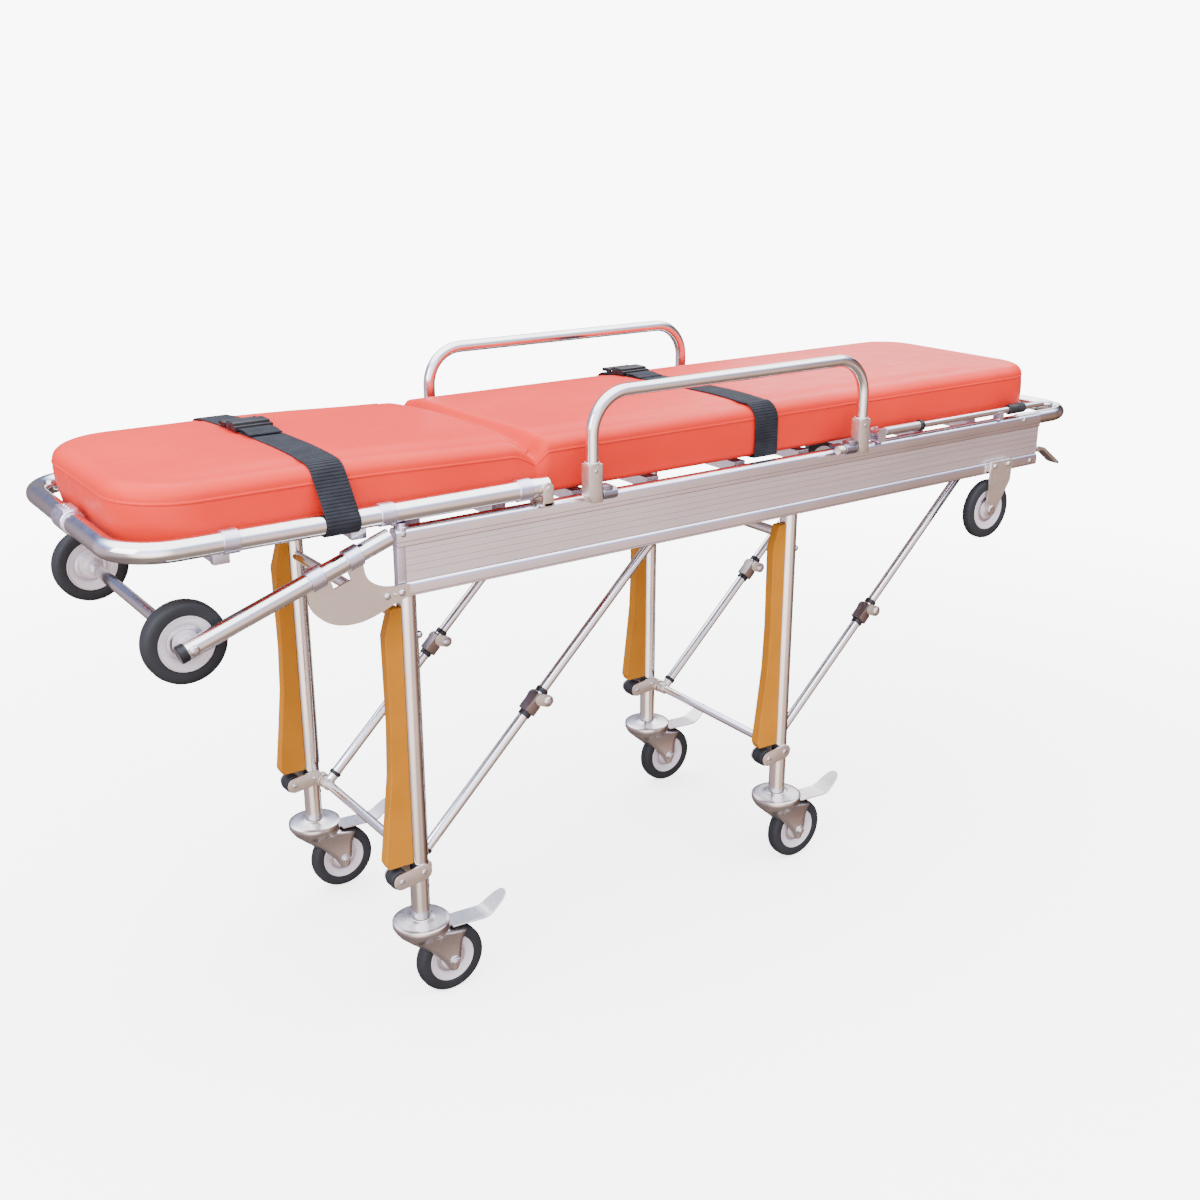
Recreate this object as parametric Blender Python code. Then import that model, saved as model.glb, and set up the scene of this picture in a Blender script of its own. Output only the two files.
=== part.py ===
"""Ambulance cot on an automatic loading chassis.

The head end points to -X, the foot end to +X, and the floor is z = 0. "right" is the
patient's right hand, -Y. Sizes are in metres. The cot stands with its legs down, its
back section flat, its side rails up and its infusion pole folded along the right beam.
"""
import math

import bmesh
import bpy
from mathutils import Matrix, Vector

SIDES = {"right": -1, "left": 1}

# Chassis
BEAM_START = -0.588
BEAM_END = 0.862
BEAM_TOP = 0.8237
BEAM_BOTTOM = 0.7188
BEAM_OUTER = 0.245
RAIL_HEIGHT = 0.027
TOP_RAIL_INNER = 0.205
FOOT_LOOP_END = 0.999
LOW_RAIL_INNER = 0.2295
WEB_OUTER = 0.2425
WEB_INNER = 0.2365
CROSSMEMBERS = (-0.54, -0.39, -0.24, -0.09, 0.10, 0.25, 0.40, 0.55, 0.70)

# Folding legs
LEGS = {"front": -0.559, "rear": 0.219}
LEG_Y = 0.2075
LEG_RADIUS = 0.0155
LEG_PIVOT_Z = 0.735
LEG_FOOT_Z = 0.1538
UPPER_TIE_Z = 0.668
ROLLER_OFFSET = (-0.039, 0.237)
ROLLER_RADIUS = 0.0165
ROLLER_BOLT_Z = 0.242
GUARD_HALF = 0.0095

# Folding braces, in the plane |y| = BRACE_Y
BRACE_Y = 0.172
TIE_OFFSET = (0.016, 0.234)
ANCHOR_OFFSET = (0.522, 0.728)
KNEE_SHARE = 0.478
KNEE_DROP = 0.014
LOWER_BRACE_RADIUS = 0.009
UPPER_BRACE_RADIUS = 0.0085

# Wheels
WHEEL_RADIUS = 0.0594
CASTER_TRAIL = 0.0495
LOAD_AXLE = (-0.903, 0.7114)
LOAD_WHEEL_Y = 0.217
TRANSIT_AXLE = (0.725, 0.645)
TRANSIT_WHEEL_Y = 0.2373

# Back section, mattress and straps
BACK_PIVOT = (-0.33, 0.848)
BACK_TUBE_RADIUS = 0.0155
BACK_TUBE_Y = 0.235
BACK_HEAD_X = -0.9805
MATTRESS_HEAD = -0.955
MATTRESS_FOOT = 0.870
MATTRESS_HALF_WIDTH = 0.2155
MATTRESS_BOTTOM = 0.829
MATTRESS_TOP = 0.918
MATTRESS_EDGE = 0.026
CREASE_SLOPE = math.radians(38)
DECK_HALF_WIDTH = 0.15
STRAP_WIDTH = 0.052
STRAP_THICKNESS = 0.0022
BACK_STRAP_X = -0.676
SEAT_STRAP_X = 0.13

# Side rails and infusion pole
RAIL_POSTS = (-0.2523, 0.3351)
RAIL_Y = 0.26
RAIL_TOP = 0.9875
RAIL_RADIUS = 0.0105
RAIL_PIVOT = (0.262, 0.828)
POLE_Y = -0.2365
POLE_Z = 0.840
POLE_PIVOT_X = 0.405

GAP = 0.0004
COLOURS = {
    "polished_tube": ((0.80, 0.81, 0.84), 0.12, 1.0),
    "aluminium": ((0.70, 0.69, 0.75), 0.32, 1.0),
    "steel_plate": ((0.62, 0.57, 0.52), 0.38, 1.0),
    "guard_plastic": ((0.86, 0.45, 0.06), 0.45, 0.0),
    "rubber": ((0.03, 0.03, 0.035), 0.70, 0.0),
    "vinyl": ((0.88, 0.14, 0.07), 0.42, 0.0),
    "webbing": ((0.025, 0.027, 0.032), 0.80, 0.0),
}


def clear_scene():
    for ob in list(bpy.data.objects):
        bpy.data.objects.remove(ob)


def material(name):
    made = bpy.data.materials.get(name)
    if made:
        return made
    made = bpy.data.materials.new(name)
    made.use_nodes = True
    shader = made.node_tree.nodes["Principled BSDF"]
    colour, roughness, metallic = COLOURS[name]
    shader.inputs["Base Color"].default_value = (*colour, 1.0)
    shader.inputs["Roughness"].default_value = roughness
    shader.inputs["Metallic"].default_value = metallic
    return made


# ---- shapes -------------------------------------------------------------------------

def at(xz, y):
    """The point at (x, z) in the plane of this y."""
    return Vector((xz[0], y, xz[1]))


def box(low, high):
    bm = bmesh.new()
    size = Vector(high) - Vector(low)
    centre = (Vector(high) + Vector(low)) / 2
    bmesh.ops.create_cube(bm, size=1, matrix=Matrix.Translation(centre) @ Matrix.Diagonal((*size, 1)))
    return bm


def prism(outline, offset):
    """A closed solid swept from an outline of points along an offset."""
    bm = bmesh.new()
    face = bm.faces.new([bm.verts.new(point) for point in outline])
    swept = bmesh.ops.extrude_face_region(bm, geom=[face])
    moved = [item for item in swept["geom"] if isinstance(item, bmesh.types.BMVert)]
    bmesh.ops.translate(bm, vec=Vector(offset), verts=moved)
    return bm


def side_prism(outline, y_from, y_to):
    """A prism along Y from an outline of (x, z) points."""
    return prism([at(point, y_from) for point in outline], (0, y_to - y_from, 0))


def rounded(points, radius, steps=5):
    """The line through the points, with each inner corner turned into an arc."""
    points = [Vector(point) for point in points]
    path = [points[0]]
    for before, corner, after in zip(points, points[1:], points[2:]):
        back = (before - corner).normalized()
        on = (after - corner).normalized()
        half = back.angle(on) / 2
        centre = corner + (back + on).normalized() * radius / math.sin(half)
        start = corner + back * radius / math.tan(half) - centre
        end = corner + on * radius / math.tan(half) - centre
        axis = start.cross(end).normalized()
        turn = math.pi - 2 * half
        path += [centre + Matrix.Rotation(turn * k / steps, 3, axis) @ start for k in range(steps + 1)]
    path.append(points[-1])
    return path


def loft(rings):
    """A closed solid through rings of points that each have the same count."""
    bm = bmesh.new()
    made = [[bm.verts.new(point) for point in ring] for ring in rings]
    for ring, following in zip(made, made[1:]):
        for k, vert in enumerate(ring):
            after = (k + 1) % len(ring)
            bm.faces.new((vert, ring[after], following[after], following[k]))
    bm.faces.new(made[0])
    bm.faces.new(made[-1])
    return bm


def tube(path, radius, sides=10):
    """A solid round bar along a path."""
    path = [Vector(point) for point in path]
    count = len(path)
    normal = (path[1] - path[0]).orthogonal()
    rings = []
    for i, point in enumerate(path):
        along = (path[min(i + 1, count - 1)] - path[max(i - 1, 0)]).normalized()
        normal = (normal - along * normal.dot(along)).normalized()
        across = along.cross(normal)
        angles = [math.tau * k / sides for k in range(sides)]
        rings.append([point + radius * (math.cos(a) * normal + math.sin(a) * across) for a in angles])
    return loft(rings)


def rod(xz, y_from, y_to, radius, sides=12):
    """A round bar along Y."""
    return tube([at(xz, y_from), at(xz, y_to)], radius, sides)


def ring_solid(profile, xz, y, sides=20):
    """A bored wheel around Y from a closed profile of (radius, offset along Y)."""
    bm = bmesh.new()
    made = []
    for k in range(sides):
        angle = math.tau * k / sides
        across = Vector((math.cos(angle), 0, math.sin(angle)))
        made.append([bm.verts.new(at(xz, y + along) + radius * across) for radius, along in profile])
    for k, ring in enumerate(made):
        following = made[(k + 1) % sides]
        for i, vert in enumerate(ring):
            after = (i + 1) % len(ring)
            bm.faces.new((vert, ring[after], following[after], following[i]))
    return bm


def stadium(start, end, radius, y_from, y_to, sides=12):
    """A plate with round ends around two (x, z) points."""
    start = Vector(start)
    end = Vector(end)
    lean = math.atan2(end.y - start.y, end.x - start.x)
    outline = []
    for centre, first in ((end, lean - math.pi / 2), (start, lean + math.pi / 2)):
        for k in range(sides // 2 + 1):
            angle = first + math.pi * k / (sides // 2)
            outline.append((centre.x + radius * math.cos(angle), centre.y + radius * math.sin(angle)))
    return side_prism(outline, y_from, y_to)


def as_object(bm):
    bmesh.ops.recalc_face_normals(bm, faces=bm.faces)
    mesh = bpy.data.meshes.new("shape")
    bm.to_mesh(mesh)
    bm.free()
    ob = bpy.data.objects.new("shape", mesh)
    bpy.context.scene.collection.objects.link(ob)
    return ob


def fuse(shapes, cuts=()):
    """One closed mesh: the union of the shapes, less the cuts."""
    solids = [as_object(bm) for bm in shapes]
    cutters = [as_object(bm) for bm in cuts]
    base = solids[0]
    steps = [(ob, "UNION") for ob in solids[1:]] + [(ob, "DIFFERENCE") for ob in cutters]
    for other, operation in steps:
        modifier = base.modifiers.new(operation.lower(), "BOOLEAN")
        modifier.operation = operation
        modifier.solver = "EXACT"
        modifier.object = other
    depsgraph = bpy.context.evaluated_depsgraph_get()
    mesh = bpy.data.meshes.new_from_object(base.evaluated_get(depsgraph))
    for ob in solids + cutters:
        bpy.data.objects.remove(ob)
    return mesh


# ---- assembly -----------------------------------------------------------------------

def world(ob):
    place = ob.location.copy()
    while ob.parent:
        ob = ob.parent
        place += ob.location
    return place


def body(name, pivot, parent=None):
    """An empty on a joint's axis, which carries everything that moves with the joint."""
    empty = bpy.data.objects.new(name, None)
    bpy.context.scene.collection.objects.link(empty)
    empty.parent = parent
    empty.location = Vector(pivot) - (world(parent) if parent else Vector())
    return empty


def add(name, mesh, colour, carrier):
    """A named node, built in place and hung on its carrier."""
    mesh.transform(Matrix.Translation(-world(carrier)))
    mesh.materials.clear()
    mesh.materials.append(material(colour))
    mesh.shade_smooth()
    mesh.set_sharp_from_angle(angle=math.radians(35))
    ob = bpy.data.objects.new(name, mesh)
    bpy.context.scene.collection.objects.link(ob)
    ob.parent = carrier
    return ob


# ---- chassis ------------------------------------------------------------------------

def beam_section():
    """Outline of the left beam as (y, z): wide top rail, flat web, narrow bottom rail."""
    top_low = BEAM_TOP - RAIL_HEIGHT
    bottom_high = BEAM_BOTTOM + RAIL_HEIGHT - 0.002
    soft = 0.006
    return [
        (BEAM_OUTER - soft, BEAM_TOP), (BEAM_OUTER, BEAM_TOP - soft), (BEAM_OUTER, top_low),
        (WEB_OUTER, top_low), (WEB_OUTER, bottom_high), (BEAM_OUTER, bottom_high),
        (BEAM_OUTER, BEAM_BOTTOM + soft), (BEAM_OUTER - soft, BEAM_BOTTOM),
        (LOW_RAIL_INNER + 0.004, BEAM_BOTTOM), (LOW_RAIL_INNER, BEAM_BOTTOM + 0.004),
        (LOW_RAIL_INNER, bottom_high), (WEB_INNER, bottom_high), (WEB_INNER, top_low),
        (TOP_RAIL_INNER, top_low), (TOP_RAIL_INNER, BEAM_TOP - soft), (TOP_RAIL_INNER + soft, BEAM_TOP),
    ]


def beam(side):
    """One side beam with its end block, tube rest, back hinge ears and brace anchor bosses."""
    length = (BEAM_END - BEAM_START, 0, 0)
    extrusion = prism([(BEAM_START, side * y, z) for y, z in beam_section()], length)
    end_block = box(
        (BEAM_START, min(side * LOW_RAIL_INNER, side * 0.2435), BEAM_BOTTOM + 0.001),
        (BEAM_START + 0.012, max(side * LOW_RAIL_INNER, side * 0.2435), BEAM_TOP - 0.005))
    rest_x = BEAM_START + 0.012
    rest = tube([(rest_x, side * BACK_TUBE_Y, 0.815), (rest_x, side * BACK_TUBE_Y, 0.8318)], 0.009)
    shapes = [extrusion, end_block, rest]
    shapes += back_hinge_ears(side)
    for leg_x in LEGS.values():
        anchor = (leg_x + ANCHOR_OFFSET[0], ANCHOR_OFFSET[1])
        shapes.append(rod(anchor, side * 0.1825, side * (WEB_INNER + 0.003), 0.009))
    return fuse(shapes)


def back_hinge_ears(side):
    """A saddle on the beam whose two ears hold the pin of the back section."""
    x, z = BACK_PIVOT
    ear_inner = (0.2163, 0.2188)
    ear_outer = (0.2515, 0.2545)
    base = [(x - 0.011, 0.8205), (x + 0.011, 0.8205), (x + 0.011, 0.8262), (x - 0.011, 0.8262)]
    ear = [(x - 0.011, 0.822), (x + 0.011, 0.822), (x + 0.009, z + 0.006), (x + 0.004, z + 0.010),
           (x - 0.004, z + 0.010), (x - 0.009, z + 0.006)]
    shapes = [side_prism(base, side * ear_inner[0], side * ear_outer[1])]
    shapes += [side_prism(ear, side * low, side * high) for low, high in (ear_inner, ear_outer)]
    shapes.append(rod(BACK_PIVOT, side * (ear_inner[0] + 0.001), side * (ear_outer[1] - 0.001), 0.004, 10))
    return shapes


def bed_frame():
    """Crossmembers between the beams and the deck sheet of the seat section."""
    low, high = 0.8035, 0.8225
    shapes = [box((x - 0.0125, -0.2045, low), (x + 0.0125, 0.2045, high)) for x in CROSSMEMBERS]
    shapes.append(box((-0.29, -DECK_HALF_WIDTH, high - 0.001), (0.84, DECK_HALF_WIDTH, 0.8255)))
    spine = box((CROSSMEMBERS[0], -0.016, low + 0.002), (CROSSMEMBERS[-1], 0.016, high - 0.002))
    return fuse([spine] + shapes)


def foot_loop():
    radius = 0.0135
    start = BEAM_END + GAP
    end = FOOT_LOOP_END - radius
    y = 0.225
    corners = [(start, -y, 0.81), (end, -y, 0.81), (end, y, 0.81), (start, y, 0.81)]
    return fuse([tube(rounded(corners, 0.068), radius, 12)])


def strut_line():
    return Vector((-0.923, 0.7045)), Vector((-0.600, 0.8163))


def strut(side):
    """Sloping tube from the beam's front end down to the loading wheel, with its bolt head."""
    low, high = strut_line()
    bar = tube([at(low, side * BEAM_OUTER), at(high, side * BEAM_OUTER)], 0.0133, 16)
    head = rod(LOAD_AXLE, side * 0.250, side * 0.2605, 0.0065, 6)
    return fuse([bar, head])


def strut_plate(side):
    """Half-moon steel plate with two bands around the strut, bolted to the beam's end."""
    inner, outer = side * 0.2456, side * 0.2496
    outline = [(-0.735, 0.7610), (-0.731, 0.7330), (-0.715, 0.7140), (-0.695, 0.7010), (-0.673, 0.6960),
               (-0.648, 0.6975), (-0.622, 0.7050), (-0.598, 0.7150), (-0.572, 0.7220), (-0.572, 0.7400),
               (-0.590, 0.7405), (-0.610, 0.7430), (-0.628, 0.7510), (-0.640, 0.7640), (-0.646, 0.7920)]
    low, high = strut_line()
    along = (high - low).normalized()
    below = Vector((along.y, -along.x))
    shapes = [side_prism(outline, inner, outer)]
    for x in (-0.719, -0.660):
        centre = low + along * ((x - low.x) / along.x)
        ends = [at(centre + along * shift, side * BEAM_OUTER) for shift in (-0.011, 0.011)]
        shapes.append(tube(ends, 0.0162, 16))
    for bolt in ((-0.610, 0.728), (-0.586, 0.729)):
        shapes.append(rod(bolt, side * 0.249, side * 0.2522, 0.004, 10))
    slot_centre = low + along * ((-0.688 - low.x) / along.x) + below * 0.0215
    corners = [slot_centre + along * a + below * b
               for a, b in ((-0.014, -0.005), (0.014, -0.005), (0.014, 0.005), (-0.014, 0.005))]
    bore = tube([at(low, side * BEAM_OUTER), at(high, side * BEAM_OUTER)], 0.0137, 16)
    slot = side_prism(corners, side * 0.24, side * 0.256)
    return fuse(shapes, [bore, slot])


def loading_axle():
    """Tube between the loading wheels, with a thin seat for each wheel."""
    return fuse([rod(LOAD_AXLE, -0.2035, 0.2035, 0.0095), rod(LOAD_AXLE, -0.2312, 0.2312, 0.006)])


def transit_bracket(side):
    """Plate on the beam's outer face that carries the rear transit wheel."""
    x, z = TRANSIT_AXLE
    hub = [(x + 0.014 * math.cos(math.radians(a)), z + 0.014 * math.sin(math.radians(a)))
           for a in range(190, 351, 20)]
    outline = hub + [(x + 0.050, 0.700), (x + 0.052, 0.7432), (x - 0.010, 0.7432), (x - 0.012, 0.700)]
    pad = [(x - 0.009, 0.7225), (x + 0.050, 0.7225), (x + 0.050, 0.7435), (x - 0.009, 0.7435)]
    shapes = [side_prism(outline, side * 0.2490, side * 0.2528)]
    shapes.append(side_prism(pad, side * (BEAM_OUTER + 0.0003), side * 0.2500))
    shapes.append(rod(TRANSIT_AXLE, side * 0.2262, side * 0.2555, 0.0055, 12))
    shapes += [rod((bolt_x, 0.734), side * 0.252, side * 0.2552, 0.004, 10) for bolt_x in (x, x + 0.040)]
    return fuse(shapes)


def wheel(xz, y, half_width):
    """Tyre and stepped rim in one, bored for its axle."""
    tyre = WHEEL_RADIUS
    half = [(0.0062, half_width * 0.5), (0.0360, half_width * 0.5), (0.0385, half_width),
            (tyre - 0.005, half_width), (tyre, half_width * 0.6)]
    profile = half + [(radius, -along) for radius, along in reversed(half)]
    return fuse([ring_solid(profile, xz, y)])


# ---- legs and braces ----------------------------------------------------------------

def leg_frame(leg_x):
    """Two leg tubes, their upper tie, the roller bracket plates and the sleeves of the lower tie."""
    shapes = [rod((leg_x, UPPER_TIE_Z), -LEG_Y, LEG_Y, 0.009)]
    bores = []
    tie = (leg_x + TIE_OFFSET[0], TIE_OFFSET[1])
    roller = (leg_x + ROLLER_OFFSET[0], ROLLER_OFFSET[1])
    bolt = (leg_x + 0.001, ROLLER_BOLT_Z)
    for side in SIDES.values():
        y = side * LEG_Y
        shapes.append(tube([(leg_x, y, LEG_FOOT_Z), (leg_x, y, 0.750)], LEG_RADIUS, 12))
        shapes.append(rod((leg_x, LEG_PIVOT_Z), y, side * 0.2287, 0.008))
        for face in (-1, 1):
            shapes.append(stadium(roller, bolt, 0.014, y + face * 0.0148, y + face * 0.0180, 8))
            shapes.append(rod(bolt, y + face * 0.0170, y + face * 0.0198, 0.0048, 6))
        shapes.append(rod(roller, y - 0.0170, y + 0.0170, 0.003, 8))
        shapes.append(rod(tie, side * 0.1835, side * 0.2000, 0.0125))
        bores.append(rod(tie, side * 0.1800, side * 0.1930, 0.0085))
    return fuse(shapes, bores)


def guard(leg_x, side):
    """Plastic shield on the head side of a leg, waisted in the middle and wide at its foot."""
    outline = [(-0.0105, 0.694), (-0.030, 0.694), (-0.043, 0.650), (-0.0415, 0.500), (-0.0445, 0.420),
               (-0.0525, 0.350), (-0.0615, 0.270), (-0.056, 0.2595), (-0.0105, 0.2585)]
    y = side * LEG_Y
    shield = side_prism([(leg_x + x, z) for x, z in outline], y - GUARD_HALF, y + GUARD_HALF)
    clearance = tube([(leg_x, y, 0.2), (leg_x, y, 0.75)], LEG_RADIUS + 2 * GAP, 12)
    return fuse([shield], [clearance])


def roller(leg_x, side):
    profile = [(0.0035, -0.0125), (0.0035, 0.0125), (0.0145, 0.0125), (ROLLER_RADIUS, 0.0095),
               (ROLLER_RADIUS, -0.0095), (0.0145, -0.0125)]
    centre = (leg_x + ROLLER_OFFSET[0], ROLLER_OFFSET[1])
    return fuse([ring_solid(profile, centre, side * LEG_Y, 16)])


def brace_points(leg_x):
    """Lower tie, knee on the brace line, knee pivot beside it, anchor, and the line's direction."""
    tie = Vector((leg_x + TIE_OFFSET[0], TIE_OFFSET[1]))
    anchor = Vector((leg_x + ANCHOR_OFFSET[0], ANCHOR_OFFSET[1]))
    along = (anchor - tie).normalized()
    knee = tie + (anchor - tie) * KNEE_SHARE
    pivot = knee + KNEE_DROP * Vector((along.y, -along.x))
    return tie, knee, pivot, anchor, along


def lower_brace_frame(leg_x):
    """The turning tie between the legs with both lower braces and their knee blocks."""
    tie, knee, pivot, _, along = brace_points(leg_x)
    drop = Vector((along.y, -along.x))
    shapes = [rod(tie, -0.1925, 0.1925, 0.008)]
    cuts = []
    for side in SIDES.values():
        y = side * BRACE_Y
        block_end = knee - along * 0.001
        shapes.append(tube([at(tie, y), at(knee - along * 0.02, y)], LOWER_BRACE_RADIUS))
        for near, far in ((0.020, 0.027), ((knee - tie).length - 0.044, (knee - tie).length - 0.034)):
            shapes.append(tube([at(tie + along * near, y), at(tie + along * far, y)], 0.0108))
        corners = [block_end - along * a + drop * b
                   for a, b in ((0.0, -0.0115), (0.0, 0.0115), (0.036, 0.0115), (0.036, -0.0115))]
        shapes.append(side_prism(corners, side * 0.160, side * 0.184))
        plate_root = knee - along * 0.020
        cuts.append(rod(pivot, side * 0.155, side * 0.1832, 0.0110, 14))
        shapes.append(stadium(plate_root, pivot, 0.0100, side * 0.1833, side * 0.1866))
        shapes.append(rod(pivot, side * 0.1855, side * 0.1893, 0.0075, 12))
    lower = fuse(shapes, cuts)
    pins = [rod(pivot, side * 0.1605, side * 0.1850, 0.0040, 10) for side in SIDES.values()]
    return join(lower, pins)


def join(mesh, shapes):
    """The union of a finished mesh and more shapes."""
    bm = bmesh.new()
    bm.from_mesh(mesh)
    return fuse([bm] + shapes)


def upper_brace(leg_x, side):
    """Brace tube from the knee to the beam, with its knee disc and top eye."""
    _, knee, pivot, anchor, along = brace_points(leg_x)
    y = side * BRACE_Y
    shapes = [tube([at(knee + along * 0.001, y), at(anchor, y)], UPPER_BRACE_RADIUS)]
    shapes.append(tube([at(knee + along * 0.004, y), at(knee + along * 0.012, y)], 0.0106))
    shapes.append(rod(pivot, side * 0.1625, side * 0.1815, 0.0100, 14))
    shapes.append(rod(anchor, side * 0.1635, side * 0.1810, 0.0110, 12))
    return fuse(shapes, [rod(pivot, side * 0.155, side * 0.190, 0.0045, 10)])


# ---- casters ------------------------------------------------------------------------

def caster_fork(x, y):
    """Pressed steel fork under a dished cup, with its axle bolt."""
    wheel_centre = (x + CASTER_TRAIL, WHEEL_RADIUS)
    profile = [(0.0455, 0.1380), (0.0475, 0.1410), (0.0465, 0.1465), (0.0400, 0.1488), (0.0180, 0.1530)]
    cup = loft([[(x + r * math.cos(math.tau * k / 24), y + r * math.sin(math.tau * k / 24), z)
                 for k in range(24)] for r, z in profile])
    outline = [(-0.0440, 0.1400), (-0.0400, 0.1270), (0.0060, 0.0860), (0.0300, 0.0520), (0.0385, 0.0430),
               (0.0495, 0.0395), (0.0600, 0.0430), (0.0680, 0.0560), (0.0710, 0.0780), (0.0770, 0.0960),
               (0.0860, 0.1110), (0.0440, 0.1215), (0.0440, 0.1400)]
    skirt = side_prism([(x + a, z) for a, z in outline], y - 0.0205, y + 0.0205)
    slot = rod(wheel_centre, y - 0.0165, y + 0.0165, WHEEL_RADIUS + 0.003, 20)
    shell = fuse([cup, skirt], [slot])
    bolt = rod(wheel_centre, y - 0.0245, y + 0.0245, 0.0055, 8)
    heads = [rod(wheel_centre, y + low, y + high, 0.0080, 6) for low, high in ((-0.026, -0.020), (0.020, 0.026))]
    return join(shell, [bolt] + heads)


def caster_pedal(x, y):
    """Brake pedal: a flat plate that ends in a rounded, upturned tab."""
    half_thickness = 0.0016
    stations = ((0.0475, 0.1245, 0.0205), (0.1120, 0.1205, 0.0205), (0.1220, 0.1225, 0.0190),
                (0.1400, 0.1345, 0.0170), (0.1520, 0.1425, 0.0135), (0.1590, 0.1470, 0.0070))
    rings = []
    for a, z, half in stations:
        rings.append([(x + a, y - half, z - half_thickness), (x + a, y + half, z - half_thickness),
                      (x + a, y + half, z + half_thickness), (x + a, y - half, z + half_thickness)])
    return fuse([loft(rings)])


# ---- back section, mattress, straps -------------------------------------------------

def back_frame():
    """Head loop of the back section with collars, hooks, deck sheet and end clamp."""
    x, z = BACK_PIVOT
    y = BACK_TUBE_Y
    end = x + 0.010
    corners = [(end, -y, z), (BACK_HEAD_X, -y, z), (BACK_HEAD_X, y, z), (end, y, z)]
    shapes = [tube(rounded(corners, 0.075), BACK_TUBE_RADIUS, 12)]
    for side in SIDES.values():
        for collar_x in (-0.835, -0.600, -0.366):
            band = [(collar_x - 0.012, side * y, z), (collar_x + 0.012, side * y, z)]
            shapes.append(tube(band, BACK_TUBE_RADIUS + 0.0018, 12))
        for hook_x in (-0.845, -0.640):
            low, high = sorted((side * 0.2162, side * 0.2295))
            shapes.append(box((hook_x - 0.012, low, 0.8152), (hook_x + 0.012, high, 0.838)))
    for bar_x in (-0.845, -0.640):
        shapes.append(box((bar_x - 0.011, -0.228, 0.8162), (bar_x + 0.011, 0.228, 0.8242)))
    shapes.append(box((-0.930, -DECK_HALF_WIDTH, 0.8234), (-0.345, DECK_HALF_WIDTH, 0.8272)))
    shapes.append(tube([(BACK_HEAD_X, -0.024, z), (BACK_HEAD_X, 0.024, z)], BACK_TUBE_RADIUS + 0.003, 12))
    shapes.append(box((BACK_HEAD_X + 0.004, -0.016, z + 0.010), (BACK_HEAD_X + 0.0225, 0.016, z + 0.019)))
    bores = [rod(BACK_PIVOT, side * 0.215, side * 0.256, 0.0046, 10) for side in SIDES.values()]
    return fuse(shapes, bores)


def mattress_outline(x_from, x_to, radius_from, radius_to):
    """Plan of a mattress section as points with round corners."""
    half = MATTRESS_HALF_WIDTH
    corners = ((x_to, half, radius_to, 0), (x_from, half, radius_from, 90),
               (x_from, -half, radius_from, 180), (x_to, -half, radius_to, 270))
    points = []
    for x, y, radius, first in corners:
        centre_x = x - math.copysign(radius, x)
        centre_y = y - math.copysign(radius, y)
        for k in range(6):
            angle = math.radians(first + 90 * k / 5)
            points.append((centre_x + radius * math.cos(angle), centre_y + radius * math.sin(angle)))
    return points


def mattress(section):
    """Half of the mattress, cut back at the crease so that the back section can rise."""
    plan = mattress_outline(MATTRESS_HEAD, MATTRESS_FOOT, 0.100, 0.065)
    bm = prism([(x, y, MATTRESS_BOTTOM) for x, y in plan], (0, 0, MATTRESS_TOP - MATTRESS_BOTTOM))
    top_edges = [edge for edge in bm.edges if all(vert.co.z > MATTRESS_TOP - GAP for vert in edge.verts)]
    bmesh.ops.bevel(bm, geom=top_edges, offset=MATTRESS_EDGE, segments=3, profile=0.5, affect="EDGES")
    above = MATTRESS_TOP + 0.01
    lean = (above - BACK_PIVOT[1]) * math.tan(CREASE_SLOPE)
    if section == "back":
        face_x, far_x, lean = BACK_PIVOT[0] - 0.0115, MATTRESS_FOOT + 0.1, -lean
    else:
        face_x, far_x = BACK_PIVOT[0] + 0.0005, MATTRESS_HEAD - 0.1
    knife = [(face_x, MATTRESS_BOTTOM - 0.01), (face_x, BACK_PIVOT[1] + 0.002), (face_x + lean, above),
             (far_x, above), (far_x, MATTRESS_BOTTOM - 0.01)]
    return fuse([bm], [side_prism(knife, -0.3, 0.3)])


def arc(centre, radius, start_deg, end_deg, steps):
    angles = [math.radians(start_deg + (end_deg - start_deg) * k / steps) for k in range(steps + 1)]
    return [(centre[0] + radius * math.cos(a), centre[1] + radius * math.sin(a)) for a in angles]


def strap_side_line(section, offset):
    """The left half of a strap's line as (y, z), from the middle of the mattress outward."""
    edge = (MATTRESS_HALF_WIDTH - MATTRESS_EDGE, MATTRESS_TOP - MATTRESS_EDGE)
    line = [(0.0, MATTRESS_TOP + offset)]
    if section == "seat":
        line += arc(edge, MATTRESS_EDGE + offset, 90, 0, 5)
        line += arc((MATTRESS_HALF_WIDTH, MATTRESS_BOTTOM), offset, 0, -90, 2)
        line.append((MATTRESS_HALF_WIDTH - 0.032, MATTRESS_BOTTOM - offset))
        return line
    tube_centre = (BACK_TUBE_Y, BACK_PIVOT[1])
    gap = Vector(tube_centre) - Vector(edge)
    slant = math.degrees(math.acos((MATTRESS_EDGE - BACK_TUBE_RADIUS) / gap.length))
    slant += math.degrees(math.atan2(gap.y, gap.x))
    line += arc(edge, MATTRESS_EDGE + offset, 90, slant, 4)
    line += arc(tube_centre, BACK_TUBE_RADIUS + offset, slant, -100, 6)
    return line


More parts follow.
